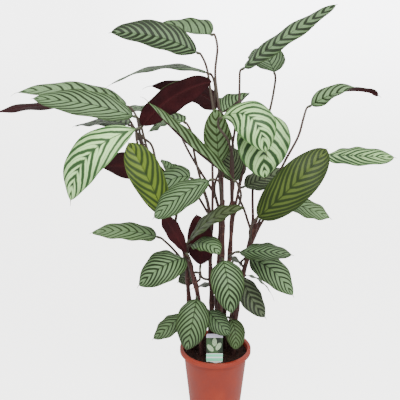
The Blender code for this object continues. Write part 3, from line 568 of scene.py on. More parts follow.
LEAVES = {
    "leaf_a1": Leaf(
        0.24, [],
        (-0.085, -0.03, 0.28), (-0.12, -0.05, 0.26), (-0.16, -0.06, 0.23), 0.06,
        (-0.3, -0.5, 0.8), 0.1, 0.1, 0.46, (0.6, 0.8),
        "mid", 7, 0.25, 0.8, 0.68, yellow=0.12, drip=0.005),
    "leaf_a2": Leaf(
        0.32, [],
        (-0.055, 0.04, 0.37), (-0.075, 0.05, 0.355), (-0.1, 0.06, 0.335), 0.045,
        (-0.3, -0.8, 0.5), 0.1, 0.1, 0.46, (0.55, 0.85),
        "dark", 7, 0.25, 0.7, 1.2, drip=0.005),
    "leaf_a3": Leaf(
        0.38, [],
        (-0.15, -0.03, 0.495), (-0.225, -0.03, 0.51), (-0.31, -0.03, 0.505), 0.07,
        (0, -0.33, 0.94), 0.1, 0.1, 0.46, (0.4, 0.7),
        "mid", 8, 0.17, 0.75, 1, yellow=0.1),
    "leaf_b1": Leaf(
        0.27, [],
        (-0.05, -0.05, 0.335), (-0.06, -0.09, 0.29), (-0.075, -0.08, 0.21), 0.08,
        (-0.05, -0.9, 0.4), 0.1, 0.12, 0.46, (0.6, 0.7),
        "mid", 9, 0.25, 0.78, 0.77, yellow=0.06),
    "leaf_b2": Leaf(
        0.37, [],
        (-0.08, -0.05, 0.445), (-0.13, -0.09, 0.44), (-0.19, -0.09, 0.39), 0.09,
        (-0.35, -0.7, 0.6), 0.1, 0.12, 0.46, (0.6, 0.75),
        "mid", 9, 0.24, 0.72, 0.93, drip=0.008),
    "leaf_b3": Leaf(
        0.4, [],
        (-0.06, -0.06, 0.485), (-0.025, -0.095, 0.5), (0.005, -0.13, 0.485), 0.06,
        (0, -0.4, 0.9), 0.1, 0.12, 0.46, (0.55, 0.85),
        "mid", 7, 0.2, 0.7, 0.95),
    "leaf_b4": Leaf(
        0.41, [],
        (-0.075, -0.075, 0.47), (-0.1, -0.09, 0.52), (-0.125, -0.1, 0.575), 0.042,
        (0.15, 0.95, 0.3), 0.1, 0.1, 0.66, (0.8, 0.7),
        "mid", 8, 0.25, 0.75, 1),
    "leaf_b5": Leaf(
        0.42, [],
        (-0.065, -0.08, 0.505), (-0.01, -0.1, 0.565), (0.06, -0.12, 0.595), 0.064,
        (-0.45, -0.25, 0.8), 0.15, 0.1, 0.46, (0.55, 0.85),
        "dark", 7, 0.2, 0.7, 1, yellow=0.15),
    "leaf_b6": Leaf(
        0.48, [(-0.185, -0.005, 0.73)],
        (-0.215, 0, 0.77), (-0.28, 0.06, 0.77), (-0.37, 0.12, 0.75), 0.065,
        (-0.1, -0.2, 1), 0.1, 0.1, 0.46, (0.55, 0.85),
        "mid", 8, 0.25, 0.7, 0.8, drip=0.008),
    "leaf_b7": Leaf(
        0.49, [],
        (-0.125, 0.03, 0.635), (-0.21, 0.08, 0.65), (-0.3, 0.1, 0.645), 0.095,
        (0, 0.9, 0.4), 0.05, 0.1, 0.46, (0.6, 0.8),
        "mid", 8, 0.25, 0.75, 1),
    "leaf_b8": Leaf(
        0.5, [],
        (-0.12, -0.09, 0.555), (-0.16, -0.105, 0.66), (-0.205, -0.085, 0.74), 0.078,
        (-0.1, -0.95, 0.25), 0.15, 0.1, 0.6, (0.8, 0.75),
        "young", 8, 0.25, 1, 0.95),
    "leaf_b9": Leaf(
        0.5, [(-0.2, 0.04, 0.745)],
        (-0.285, 0.09, 0.81), (-0.42, 0.03, 0.815), (-0.53, 0, 0.8), 0.07,
        (0, 0.4, 0.92), 0.1, 0.15, 0.46, (0.6, 0.8),
        "mid", 10, 0.24, 0.7, 0.85),
    "leaf_b10": Leaf(
        0.5, [(-0.185, 0.02, 0.73)],
        (-0.225, 0.05, 0.81), (-0.35, 0.06, 0.845), (-0.5, 0.08, 0.84), 0.075,
        (0, -0.42, 0.9), 0.2, 0.1, 0.46, (0.45, 0.8),
        "mid", 9, 0.17, 0.7, 1, drip=0.02),
    "leaf_b11": Leaf(
        0.52, [(-0.19, -0.06, 0.74)],
        (-0.19, -0.07, 0.77), (-0.295, -0.11, 0.715), (-0.345, -0.09, 0.605), 0.098,
        (-0.3, -0.85, 0.4), 0.08, 0.15, 0.5, (0.85, 0.8),
        "pale", 6, 0.2, 1, 0.97, drip=0.012),
    "leaf_b12": Leaf(
        0.53, [(-0.175, -0.03, 0.745)],
        (-0.2, -0.03, 0.795), (-0.305, -0.04, 0.825), (-0.435, -0.02, 0.835), 0.085,
        (-0.1, -0.6, 0.8), 0.15, 0.1, 0.46, (0.55, 0.8),
        "mid", 10, 0.21, 1.1, 0.86),
    "leaf_b13": Leaf(
        0.58, [(-0.155, -0.03, 0.72)],
        (-0.175, -0.05, 0.775), (-0.105, -0.06, 0.84), (-0.015, -0.04, 0.875), 0.085,
        (-0.35, 0.75, 0.55), 0.05, 0.12, 0.52, (0.5, 0.58),
        "mid", 8, 0.25, 0.75, 1),
    "leaf_c1": Leaf(
        0.22, [],
        (-0.02, -0.045, 0.3), (0.005, -0.07, 0.28), (0.035, -0.075, 0.25), 0.055,
        (0.15, -0.75, 0.6), 0.1, 0.12, 0.46, (0.6, 0.8),
        "mid", 7, 0.23, 0.8, 0.6),
    "leaf_c2": Leaf(
        0.3, [],
        (-0.005, 0.02, 0.345), (-0.035, 0.04, 0.335), (-0.065, 0.07, 0.31), 0.04,
        (0, -0.1, 1), 0.1, 0.1, 0.46, (0.55, 0.85),
        "dark", 8, 0.26, 0.7, 1, drip=0.005),
    "leaf_c3": Leaf(
        0.33, [],
        (-0.04, -0.03, 0.42), (-0.04, -0.03, 0.485), (-0.05, -0.025, 0.55), 0.068,
        (0, 0.95, 0.3), 0.05, 0.1, 0.4, (0.8, 0.7),
        "mid", 8, 0.25, 0.75, 1),
    "leaf_c4": Leaf(
        0.46, [],
        (-0.065, -0.07, 0.655), (-0.1, -0.075, 0.655), (-0.15, -0.08, 0.625), 0.058,
        (-0.2, -0.75, 0.6), 0.3, 0.1, 0.46, (0.6, 0.8),
        "mid", 6, 0.16, 0.8, 0.85),
    "leaf_c5": Leaf(
        0.5, [],
        (-0.085, -0.02, 0.64), (-0.115, -0.01, 0.66), (-0.135, 0.02, 0.68), 0.044,
        (0.5, -0.45, 0.7), 0.55, 0.1, 0.46, (0.55, 0.85),
        "mid", 7, 0.18, 0.7, 0.8),
    "leaf_c6": Leaf(
        0.52, [(-0.03, 0, 0.6), (-0.055, -0.01, 0.7)],
        (-0.08, -0.02, 0.78), (-0.12, 0.02, 0.78), (-0.17, 0.06, 0.745), 0.058,
        (0.2, -0.6, 0.75), 0.1, 0.15, 0.46, (0.55, 0.85),
        "mid", 8, 0.25, 0.75, 1),
    "leaf_c7": Leaf(
        0.54, [(-0.01, 0.04, 0.715), (-0.005, 0.035, 0.835)],
        (-0.025, 0.045, 0.89), (-0.14, 0.06, 0.905), (-0.265, 0.06, 0.86), 0.074,
        (0, -0.12, 1), 0.05, 0.1, 0.36, (0.6, 1),
        "mid", 8, 0.2, 0.8, 0.6, drip=0.022),
    "leaf_d1": Leaf(
        0.36, [],
        (0.015, -0.08, 0.45), (0.025, -0.12, 0.41), (0.035, -0.12, 0.33), 0.08,
        (0.05, -0.9, 0.4), 0.1, 0.12, 0.46, (0.6, 0.8),
        "mid", 9, 0.25, 0.75, 0.89),
    "leaf_d2": Leaf(
        0.48, [(0.01, -0.055, 0.605)],
        (-0.02, -0.12, 0.66), (-0.085, -0.145, 0.63), (-0.145, -0.145, 0.58), 0.075,
        (-0.45, -0.65, 0.6), 0.1, 0.12, 0.52, (0.75, 0.65),
        "mid", 9, 0.21, 1, 0.82),
    "leaf_d3": Leaf(
        0.52, [(0.005, 0.025, 0.655), (0, 0.025, 0.745), (-0.025, 0.03, 0.905)],
        (-0.05, 0.03, 0.94), (-0.14, 0.01, 0.975), (-0.245, -0.02, 0.985), 0.084,
        (0.15, -0.75, 0.65), 0.3, 0.1, 0.4, (0.65, 0.75),
        "mid", 12, 0.36, 0.6, 0.62),
    "leaf_d4": Leaf(
        0.56, [(0.015, 0.015, 0.635), (0.015, 0.03, 0.695), (0.005, 0.02, 0.81), (-0.005, 0.025, 0.9)],
        (-0.015, 0.06, 0.98), (-0.09, 0.13, 0.99), (-0.165, 0.19, 1), 0.084,
        (-0.18, -0.34, 0.93), 0.55, 0.1, 0.3, (0.5, 0.8),
        "mid", 8, 0.14, 0.8, 0.78),
    "leaf_e1": Leaf(
        0.21, [],
        (0.04, -0.035, 0.27), (0.05, -0.05, 0.24), (0.05, -0.06, 0.2), 0.051,
        (0.1, -0.85, 0.5), 0.1, 0.1, 0.46, (0.6, 0.58),
        "mid", 7, 0.25, 0.8, 0.6, yellow=0.28, drip=0.005),
    "leaf_e2": Leaf(
        0.36, [],
        (0.045, 0.02, 0.41), (0.055, 0.04, 0.405), (0.07, 0.06, 0.385), 0.035,
        (0, -0.6, 0.8), 0.1, 0.1, 0.46, (0.55, 0.85),
        "dark", 8, 0.26, 0.7, 1, drip=0.005),
    "leaf_e3": Leaf(
        0.4, [],
        (0.055, -0.085, 0.475), (0.11, -0.11, 0.485), (0.175, -0.12, 0.48), 0.068,
        (0, -0.32, 0.94), 0.1, 0.1, 0.46, (0.75, 0.8),
        "mid", 9, 0.26, 0.9, 0.62),
    "leaf_e4": Leaf(
        0.49, [(0.075, -0.01, 0.7)],
        (0.115, -0.05, 0.805), (0.105, -0.09, 0.74), (0.11, -0.09, 0.66), 0.126,
        (0.1, -0.9, 0.4), 0.08, 0.12, 0.42, (0.36, 0.75),
        "pale", 4.6, 0.21, 0.6, 0.8, drip=0.008),
    "leaf_e5": Leaf(
        0.5, [],
        (0.035, -0.09, 0.655), (-0.07, -0.12, 0.745), (-0.155, -0.11, 0.835), 0.038,
        (0.55, -0.5, 0.7), 0.5, -0.5, 0.42, (0.85, 0.9),
        "mid", 8, 0.22, 2.6, 0.9, yellow=0.1, drip=0.03),
    "leaf_e6": Leaf(
        0.5, [(0.06, 0.04, 0.61), (0.055, 0.06, 0.645), (0.04, 0.08, 0.725)],
        (0.005, 0.105, 0.8), (-0.06, 0.13, 0.84), (-0.17, 0.16, 0.85), 0.08,
        (0.1, 0.75, 0.65), 0.05, 0.15, 0.34, (0.5, 0.85),
        "mid", 8, 0.2, 0.5, 0.8, drip=0.026),
    "leaf_e7": Leaf(
        0.52, [(0.035, -0.04, 0.71)],
        (0.01, -0.06, 0.795), (0.07, -0.13, 0.805), (0.105, -0.14, 0.73), 0.092,
        (0.15, -0.9, 0.4), 0.05, 0.15, 0.6, (1.05, 0.72),
        "pale", 6, 0.19, 0.65, 0.8, drip=0.012),
    "leaf_e8": Leaf(
        0.54, [(0.035, 0, 0.68), (0.055, 0.01, 0.84)],
        (0.065, 0.01, 0.905), (0.155, -0.01, 0.975), (0.265, -0.03, 1.045), 0.072,
        (-0.5, -0.45, 0.73), 0.1, 0.15, 0.42, (0.5, 0.65),
        "mid", 12, 0.29, 0.5, 0.76),
    "leaf_f1": Leaf(
        0.3, [],
        (0.08, 0.01, 0.375), (0.115, 0, 0.365), (0.145, -0.01, 0.33), 0.045,
        (0.35, 0.2, 0.9), 0.1, 0.1, 0.46, (0.55, 0.85),
        "mid", 7, 0.2, 0.6, 0.75, drip=0.014),
    "leaf_f2": Leaf(
        0.36, [],
        (0.085, -0.03, 0.435), (0.14, -0.06, 0.415), (0.19, -0.07, 0.355), 0.08,
        (0.3, -0.65, 0.65), 0.1, 0.12, 0.46, (0.6, 0.8),
        "mid", 8.5, 0.26, 0.78, 0.96),
    "leaf_f3": Leaf(
        0.46, [(0.07, 0.01, 0.555)],
        (0.07, 0.005, 0.615), (0.115, 0.02, 0.63), (0.18, 0.045, 0.65), 0.07,
        (-0.2, -0.5, 0.8), 0.1, 0.1, 0.46, (0.75, 0.8),
        "dark", 8, 0.22, 0.7, 1.9, drip=0.005),
    "leaf_f4": Leaf(
        0.48, [(0.105, -0.01, 0.545), (0.17, -0.02, 0.695), (0.205, -0.005, 0.76)],
        (0.23, 0.02, 0.815), (0.3, -0.01, 0.85), (0.37, -0.05, 0.845), 0.058,
        (-0.1, -0.26, 0.93), 0.45, 0.2, 0.46, (0.55, 0.42),
        "mid", 9, 0.22, 0.6, 1, drip=0.008, twist=1.9),
    "leaf_f5": Leaf(
        0.56, [(0.095, 0.05, 0.59), (0.095, 0.07, 0.645), (0.135, 0.08, 0.79), (0.15, 0.09, 0.875)],
        (0.145, 0.09, 0.89), (0.13, 0.14, 0.925), (0.105, 0.19, 0.945), 0.095,
        (0.1, -0.75, 0.6), 0.1, 0.1, 0.5, (0.8, 0.8),
        "mid", 8, 0.2, 0.8, 0.7),
    "leaf_g1": Leaf(
        0.33, [],
        (0.065, -0.05, 0.395), (0.085, -0.07, 0.35), (0.12, -0.09, 0.305), 0.063,
        (0.3, -0.7, 0.6), 0.1, 0.12, 0.46, (0.7, 0.8),
        "dark", 7, 0.28, 0.7, 1.05),
    "leaf_g2": Leaf(
        0.42, [],
        (0.165, -0.03, 0.585), (0.225, -0.04, 0.57), (0.275, -0.05, 0.55), 0.074,
        (0, -0.35, 0.93), 0.1, 0.1, 0.46, (0.7, 0.9),
        "mid", 7, 0.18, 0.8, 1, yellow=0.1),
    "leaf_g3": Leaf(
        0.45, [],
        (0.095, -0.11, 0.57), (0.17, -0.14, 0.655), (0.245, -0.11, 0.73), 0.09,
        (-0.1, -0.9, 0.4), 0.12, 0.1, 0.5, (0.5, 0.62),
        "olive", 10, 0.27, 1.1, 0.93),
    "leaf_g4": Leaf(
        0.47, [],
        (0.285, 0.06, 0.685), (0.345, 0.02, 0.69), (0.435, 0, 0.69), 0.08,
        (0, -0.42, 0.9), 0.1, 0.12, 0.5, (0.4, 0.55),
        "pale", 7, 0.28, 0.9, 0.64, drip=0.008),
    "leaf_h1": Leaf(
        0.46, [],
        (0.045, 0.04, 0.62), (0.04, 0.04, 0.665), (0.025, 0.04, 0.71), 0.074,
        (0.2, -0.9, 0.2), 0.1, 0.1, 0.46, (0.55, 0.85),
        "dark", 8, 0.24, 0.8, 1.9),
    "leaf_h2": Leaf(
        0.5, [(-0.005, 0.02, 0.605)],
        (0.005, 0, 0.675), (0, -0.005, 0.745), (-0.005, -0.005, 0.81), 0.066,
        (0, -0.95, 0.2), 0.12, 0.1, 0.46, (0.6, 0.85),
        "mid", 7, 0.24, 0.8, 0.86, yellow=0.2),
    "leaf_h3": Leaf(
        0.52, [(-0.08, 0.09, 0.705)],
        (-0.135, 0.12, 0.79), (-0.2, 0.13, 0.795), (-0.265, 0.14, 0.785), 0.07,
        (0, -0.15, 1), 0.1, 0.1, 0.46, (0.55, 0.85),
        "mid", 8, 0.24, 0.5, 0.8),
    "leaf_h4": Leaf(
        0.56, [(0.015, 0.055, 0.65), (0.015, 0.055, 0.72)],
        (0.015, 0.045, 0.795), (0.05, 0.08, 0.805), (0.085, 0.12, 0.835), 0.076,
        (0, 0.08, 1), 0.9, 0.2, 0.46, (0.55, 0.85),
        "mid", 8, 0.25, 0.75, 1),
}

PETIOLE_RADIUS = 0.0036
PETIOLE_TAPER = 0.0008
PETIOLE_SPANS = 6
SPAN_STEPS = 6
SHEATHED_RUN = 0.03
KNUCKLE_RADIUS = 0.0028
KNUCKLE_SWELL = 0.0006
KNUCKLE_LENGTH = 0.014
STEM_STEPS = 140
RING_HEIGHT = 0.0004
RING_WIDTH = 0.002


def midrib(leaf, t):
    """The midrib's point and direction at a share of its length: one arc through base, middle and tip."""
    base, middle, tip = Vector(leaf.base), Vector(leaf.middle), Vector(leaf.tip)
    bend = 2 * middle - (base + tip) / 2
    point = (1 - t) ** 2 * base + 2 * t * (1 - t) * bend + t ** 2 * tip
    along = ((1 - t) * (bend - base) + t * (tip - bend)).normalized()
    return point, along


def cane_of(leaf_name):
    """A leaf is named after its cane: leaf_b12 grows on cane_b."""
    return "cane_" + leaf_name[5]


def petiole(name, leaf):
    """A petiole from the heart of its cane, through its bends and its knuckle, to the blade's base."""
    cane = cane_course(cane_of(name), 60)
    near = min(range(len(cane) - 1), key=lambda k: abs(cane[k].z - leaf.joins))
    start = cane[near]
    leave = start + (cane[near + 1] - cane[near]).normalized() * SHEATHED_RUN
    base, along = midrib(leaf, 0)
    # The knuckle meets the blade nearly level, however steeply the blade hangs
    level = (along - Vector((0, 0, min(along.z, 0) * 0.8))).normalized()
    knuckle = base - level * KNUCKLE_LENGTH
    bends = [Vector(bend) for bend in leaf.bends]
    climb = knuckle - (bends[-1] if bends else start)
    arch = knuckle - (climb.normalized() + level * 0.5).normalized() * climb.length * 0.3
    curve = smooth_curve([start, leave] + bends + [arch, knuckle], 8)
    course = resample(curve, [1 - (1 - span / PETIOLE_SPANS) ** 1.4 for span in range(PETIOLE_SPANS + 1)])
    course = smooth_curve(course + [base - along * 0.004, base - along * GAP], SPAN_STEPS)
    stalk_steps = PETIOLE_SPANS * SPAN_STEPS
    knuckle_steps = 2 * SPAN_STEPS
    radii = [PETIOLE_RADIUS - PETIOLE_TAPER * step / stalk_steps for step in range(stalk_steps + 1)]
    radii += [KNUCKLE_RADIUS + KNUCKLE_SWELL * math.sin(math.pi * step / knuckle_steps)
              for step in range(1, knuckle_steps + 1)]
    return drawn_stem(name + "_petiole", course, radii, resolution=3)


def cane_stem(cane):
    """A cane from its foot in the soil to its top, with a slightly raised ring at each joint."""
    course = smooth_curve(cane_course(cane, 10), 10)
    course = resample(course, [step / STEM_STEPS for step in range(STEM_STEPS + 1)])
    radii = []
    for step, point in enumerate(course):
        from_joint = abs((point.z / JOINT_SPACING + 0.5) % 1 - 0.5) * JOINT_SPACING
        ring = RING_HEIGHT * math.exp(-(from_joint / RING_WIDTH) ** 2)
        radii.append(cane_radius(step / STEM_STEPS, point.z) + ring)
    return drawn_stem(cane + "_stems", course, radii, resolution=6)


DARK_BARK = (0.029, 0.009, 0.008)
RED_BARK = (0.074, 0.024, 0.020)
PALE_RIB_AND_HIGHLIGHT = (0.167, 0.070, 0.055)
PALE_PATCH = (0.161, 0.080, 0.053)
BLACK_PATCH = (0.016, 0.005, 0.005)
JOINT_RING = (0.117, 0.057, 0.041)
PAINTED_FOOT_SHADE = (0.010, 0.004, 0.004)
bark = Finish("cane_bark", Specular_IOR_Level=0.3)
spot = bark.place()
streaks = bark.grain(bark.times(spot, (1.0, 1.0, 0.06)), scale=620.0, detail=4.0)
ribs = bark.grain(bark.times(spot, (1.0, 1.0, 0.02)), scale=210.0, detail=2.0)
patches = bark.grain(spot, scale=38.0, detail=3.0)
height = bark.axes(spot)[2]
joint = abs((height / JOINT_SPACING + 0.5).fraction() - 0.5).ramp(0.035, 0.012)
colour = bark.mix(streaks.ramp(0.35, 0.68), DARK_BARK, RED_BARK)
# Pale lengthwise ribs: partly the bark's own pale fibres, partly a painted highlight along the canes.
colour = bark.mix(ribs.ramp(0.56, 0.70) * 0.75, colour, PALE_RIB_AND_HIGHLIGHT)
colour = bark.mix(patches.ramp(0.62, 0.72) * 0.4, colour, PALE_PATCH)
colour = bark.mix(patches.ramp(0.42, 0.30) * 0.6, colour, BLACK_PATCH)
colour = bark.mix(joint * 0.5, colour, JOINT_RING)
# Painted shade: the canes darken towards the soil, where the foliage above shades their feet.
colour = bark.mix(height.ramp(0.235, 0.165) * 0.7, colour, PAINTED_FOOT_SHADE)
bark.finish(colour, 0.42 + streaks * 0.2, streaks + ribs + joint * 0.4, depth=0.0004)

# A petiole is red at its foot and greener higher up.
DARK_RED_SKIN = (0.043, 0.017, 0.016)
RED_SKIN = (0.086, 0.038, 0.030)
BROWN_SKIN = (0.056, 0.036, 0.030)
OLIVE_SKIN = (0.080, 0.065, 0.048)
SKIN_STREAK = (0.046, 0.025, 0.021)
GREEN_TOP = (0.065, 0.077, 0.043)
skin = Finish("petiole_skin", Specular_IOR_Level=0.25)
spot = skin.place()
rise = skin.axes(skin.add("UVMap", {"uv_map": "UVMap"}))[0]
streaks = skin.grain(skin.times(spot, (1.0, 1.0, 0.06)), scale=620.0, detail=3.0)
tint = skin.grain(spot, scale=16.0, detail=1.0)
red = skin.mix(streaks.ramp(0.35, 0.7), DARK_RED_SKIN, RED_SKIN)
green = skin.mix(tint.ramp(0.35, 0.65), BROWN_SKIN, OLIVE_SKIN)
green = skin.mix(streaks.ramp(0.4, 0.75) * 0.4, green, SKIN_STREAK)
green = skin.mix(rise.ramp(0.76, 0.86) * 0.75, green, GREEN_TOP)
colour = skin.mix(rise.ramp(0.05, 0.45), red, green)
skin.finish(colour, 0.45 + streaks * 0.2, streaks, depth=0.0003)

for cane in CANES:
    stem = cane_stem(cane)
    stem.data.materials.append(bark.material)
    petioles = [petiole(name, leaf) for name, leaf in LEAVES.items() if cane_of(name) == cane]
    for stalk in petioles:
        stalk.data.materials.append(skin.material)
    join_pieces(petioles, stem)
    smooth(stem, degrees=50)
    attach(stem, "root")
    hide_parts(cane)


# ---- Leaf blades ----
# Long oval blades under a millimetre thick, each with a sunken midrib and waved edges. Green or silver-green
# above, with dark stripes that follow the side veins from the midrib to a thin green margin; maroon below.

ROWS = 60
TIP_ROWS = 4
COLUMNS = 20
BLADE_THICKNESS = 0.0007
OUTLINE_ROUNDNESS = 2.2
BASE_WIDTH = 0.0036
TIP_NARROWING = 0.0018
# On the drip tip, a blade's share of length runs on from 1 to 1 + 1 / DRIP_SCALE
DRIP_SCALE = 10
RIPPLES = 3
RIPPLE_HEIGHT = 0.0020
GROOVE_DEPTH = 0.0007
GROOVE_WIDTH = 0.0022


def blade_half_width(leaf, t):
    """Half of the blade's width at a share of its length: a long oval with ends of their own sharpness."""
    if t < leaf.widest:
        shape = max(0.0, 1 - (1 - t / leaf.widest) ** OUTLINE_ROUNDNESS) ** leaf.ends[0]
    else:
        past = (t - leaf.widest) / (1 - leaf.widest)
        shape = max(0.0, 1 - past ** OUTLINE_ROUNDNESS) ** leaf.ends[1]
    end = BASE_WIDTH - TIP_NARROWING * max(0.0, (t - 0.9) / 0.1)
    return max(leaf.width * shape, end) / 2


def blade_point(leaf, t, s, phase):
    """The blade's middle surface at a share t of its length (past 1 on the drip tip) and s across it."""
    point, along = midrib(leaf, min(t, 1.0))
    side = along.cross(Vector(leaf.face)).normalized()
    side.rotate(Matrix.Rotation(leaf.twist * (0.5 - min(t, 1.0)), 3, along))
    up = side.cross(along)
    half = blade_half_width(leaf, min(t, 1.0))
    if t > 1:
        past = (t - 1) * DRIP_SCALE
        half *= 1 - 0.75 * past
        point = point + along * leaf.drip * past - Vector((0, 0, 0.35)) * leaf.drip * past ** 2
    lift = half * (leaf.fold * abs(s) - leaf.droop * s * s)
    ripple = RIPPLE_HEIGHT * s * s * math.sin(math.tau * (RIPPLES * t + phase) + s) * min(1.0, half / 0.02)
    groove = GROOVE_DEPTH * math.exp(-(s * half / GROOVE_WIDTH) ** 2) * min(1.0, half / 0.01)
    return point + side * s * half + up * (lift + ripple - groove)


def vein_course(leaf, t, s):
    """Counts the side veins along the midrib: each leans towards the tip and bends with the margin."""
    length = (Vector(leaf.tip) - Vector(leaf.base)).length
    narrowing = 0.5 + blade_half_width(leaf, min(t, 1.0)) / leaf.width
    reach = 0.6 * abs(s) + 0.4 * abs(s) ** 3
    return (t - leaf.width / length * leaf.lean * narrowing * reach) * leaf.stripes


start_piece()
bpy.ops.mesh.primitive_grid_add(x_subdivisions=COLUMNS, y_subdivisions=ROWS, size=1)
pattern = bpy.context.object
# Each corner's share of the length and place across, closer together at the midrib and at both ends
places = []
for vertex in pattern.data.vertices:
    row = (vertex.co.y + 0.5) * ROWS / (ROWS - TIP_ROWS)
    if row < 1:
        t = (1 - math.cos(math.pi * row)) / 2
    else:
        t = 1 + (row - 1) * (ROWS - TIP_ROWS) / (TIP_ROWS * DRIP_SCALE)
    across = vertex.co.x * 2
    places.append((t, math.copysign(abs(across) ** 1.3, across)))

GOLDEN_TINT = (0.091, 0.143, 0.020)
DRY_TIP = (0.054, 0.028, 0.013)
MAROON_SHADE = (0.029, 0.005, 0.007)
MAROON = (0.047, 0.008, 0.010)
MAROON_VEIN = (0.015, 0.002, 0.004)
MAROON_RIB = (0.065, 0.013, 0.014)
MAROON_MARGIN = (0.010, 0.002, 0.003)


def top_finish(name, ground, stripe, margin, soft, fine_lines=0.3, teeth=0.0, tooth=None):
    """The upper side of a blade: stripes along its side veins, and where given, teeth between them."""
    leaf = Finish(name, Specular_IOR_Level=0.22)
    spot = leaf.place()
    t, v, _ = leaf.axes(leaf.add("UVMap", {"uv_map": "blade"}))
    band, shade, yellow = leaf.axes(leaf.add("Attribute", {"attribute_name": "look"}, output="Vector"))
    s = abs(v * 2 - 1)
    cloud = leaf.grain(spot, scale=30.0, detail=3.0)
    broad = leaf.grain(spot, scale=9.0, detail=1.0)
    course = leaf.add("Attribute", {"attribute_name": "veins"}, output="Fac") + (cloud - 0.5) * 0.5
    from_stripe = abs(course.fraction() - 0.5)
    between = abs((course + 0.5).fraction() - 0.5)
    # Stripes broaden towards the margin and vary along the blade. A fine line runs between each two of them.
    dark = (band * (0.75 + 0.55 * s) * (0.45 + broad * 1.1) - from_stripe).ramp(-soft, soft)
    fine = (0.035 - between).ramp(-0.04, 0.04) * s.ramp(0.95, 0.5)
    rib = s.ramp(0.05, 0.02)
    veins = abs((course * 5).fraction() - 0.5).ramp(0.0, 0.5)
    colour = leaf.mix(s.ramp(0.35, 1.0) * 0.4, ground, margin)
    colour = leaf.mix(veins * 0.12 + cloud.ramp(0.5, 0.8) * 0.15 + fine * fine_lines, colour, stripe)
    colour = leaf.mix(dark.larger(t.ramp(0.09, 0.0) * 0.6), colour, stripe)
    if teeth:
        spread = (teeth * s.ramp(0.28, 0.0) - between).ramp(-soft, soft)
        colour = leaf.mix(spread * t.ramp(0.15, 0.35), colour, tooth)
    colour = leaf.mix(rib * t.ramp(0.98, 0.2) * 0.85, colour, stripe)
    colour = leaf.mix(s.ramp(0.90, 0.97) * 0.8, colour, margin)
    colour = leaf.mix(yellow, colour, GOLDEN_TINT)
    colour = leaf.mix(t.ramp(0.992, 1.01), colour, DRY_TIP)
    # Each leaf's shade factor scales its colour: partly its own tone, partly painted light and shade.
    bright = leaf.add("CombineXYZ", sockets={0: shade, 1: shade, 2: shade})
    colour = leaf.times(colour, bright)
    relief = veins * 0.5 - dark * 0.25 + (1 - rib) * 0.8
    return leaf.finish(colour, 0.36 + veins * 0.08 + cloud * 0.1, relief, depth=0.0005)


def under_finish():
    """The maroon underside, with darker side veins and a paler rib."""
    leaf = Finish("maroon_underside", Specular_IOR_Level=0.12)
    spot = leaf.place()
    t, v, _ = leaf.axes(leaf.add("UVMap", {"uv_map": "blade"}))
    s = abs(v * 2 - 1)
    cloud = leaf.grain(spot, scale=24.0, detail=4.0)
    course = leaf.add("Attribute", {"attribute_name": "veins"}, output="Fac")
    veins = abs((course * 4).fraction() - 0.5).ramp(0.35, 0.5)
    colour = leaf.mix(cloud.ramp(0.3, 0.7), MAROON_SHADE, MAROON)
    colour = leaf.mix(veins * 0.35, colour, MAROON_VEIN)
    colour = leaf.mix(s.ramp(0.25, 0.0) * 0.45, colour, MAROON_RIB)
    colour = leaf.mix(s.ramp(0.80, 1.0) * 0.7, colour, MAROON_MARGIN)
    colour = leaf.mix(t.ramp(0.992, 1.01), colour, DRY_TIP)
    relief = s.ramp(0.06, 0.0) + veins * 0.4
    return leaf.finish(colour, 0.55 + cloud * 0.15, relief, depth=0.0005)


maroon = under_finish()
tops = {
    "mid": top_finish("blade_silver_green", ground=(0.186, 0.311, 0.141), stripe=(0.012, 0.024, 0.005),
                      margin=(0.044, 0.080, 0.021), soft=0.09),
    # Painted shade: the dark tone is a darker copy of the silver-green top, for leaves that sit in shade.
    "dark": top_finish("blade_shaded_green", ground=(0.077, 0.103, 0.053), stripe=(0.009, 0.014, 0.004),
                       margin=(0.022, 0.037, 0.012), soft=0.09),
    "pale": top_finish("blade_pale_mint", ground=(0.562, 0.920, 0.365), stripe=(0.029, 0.077, 0.022),
                       margin=(0.062, 0.166, 0.036), soft=0.08, fine_lines=0.1, teeth=0.15,
                       tooth=(0.026, 0.056, 0.025)),
    "young": top_finish("blade_young", ground=(0.140, 0.213, 0.020), stripe=(0.020, 0.042, 0.006),
                        margin=(0.059, 0.096, 0.010), soft=0.18),
    "olive": top_finish("blade_olive", ground=(0.082, 0.123, 0.019), stripe=(0.014, 0.029, 0.003),
                        margin=(0.018, 0.038, 0.004), soft=0.12),
}

for number, (name, leaf) in enumerate(LEAVES.items()):
    blade = pattern.copy()
    blade.data = pattern.data.copy()
    blade.name = name.replace("leaf", "blade")
    bpy.context.scene.collection.objects.link(blade)
    phase = number * 0.37
    for vertex, (t, s) in zip(blade.data.vertices, places):
        vertex.co = blade_point(leaf, t, s, phase)
    layout = blade.data.uv_layers.active
    layout.name = "blade"
    for loop, uv in zip(blade.data.loops, layout.data):
        t, s = places[loop.vertex_index]
        uv.uv = (t, (s + 1) / 2)
    look = blade.data.attributes.new("look", "FLOAT_VECTOR", "POINT")
    look.data.foreach_set("vector", (leaf.band, leaf.shade, leaf.yellow) * len(blade.data.vertices))
    veins = blade.data.attributes.new("veins", "FLOAT", "POINT")
    veins.data.foreach_set("value", [vein_course(leaf, t, s) for t, s in places])
    blade.data.materials.clear()
    blade.data.materials.append(tops[leaf.tone])
    blade.data.materials.append(maroon)
    apply_modifier(blade, "SOLIDIFY", thickness=BLADE_THICKNESS, offset=0.0, material_offset=1)
    smooth(blade, degrees=60)
    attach(blade, "root")
    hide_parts(name)
bpy.data.objects.remove(pattern)


# ---- Stage ----
# A plain pale floor that curves up into a backdrop, one large soft lamp above the camera and even light from
# all round. The backdrop glows so that it stays pale, and lights nothing. None of it is part of the plant.

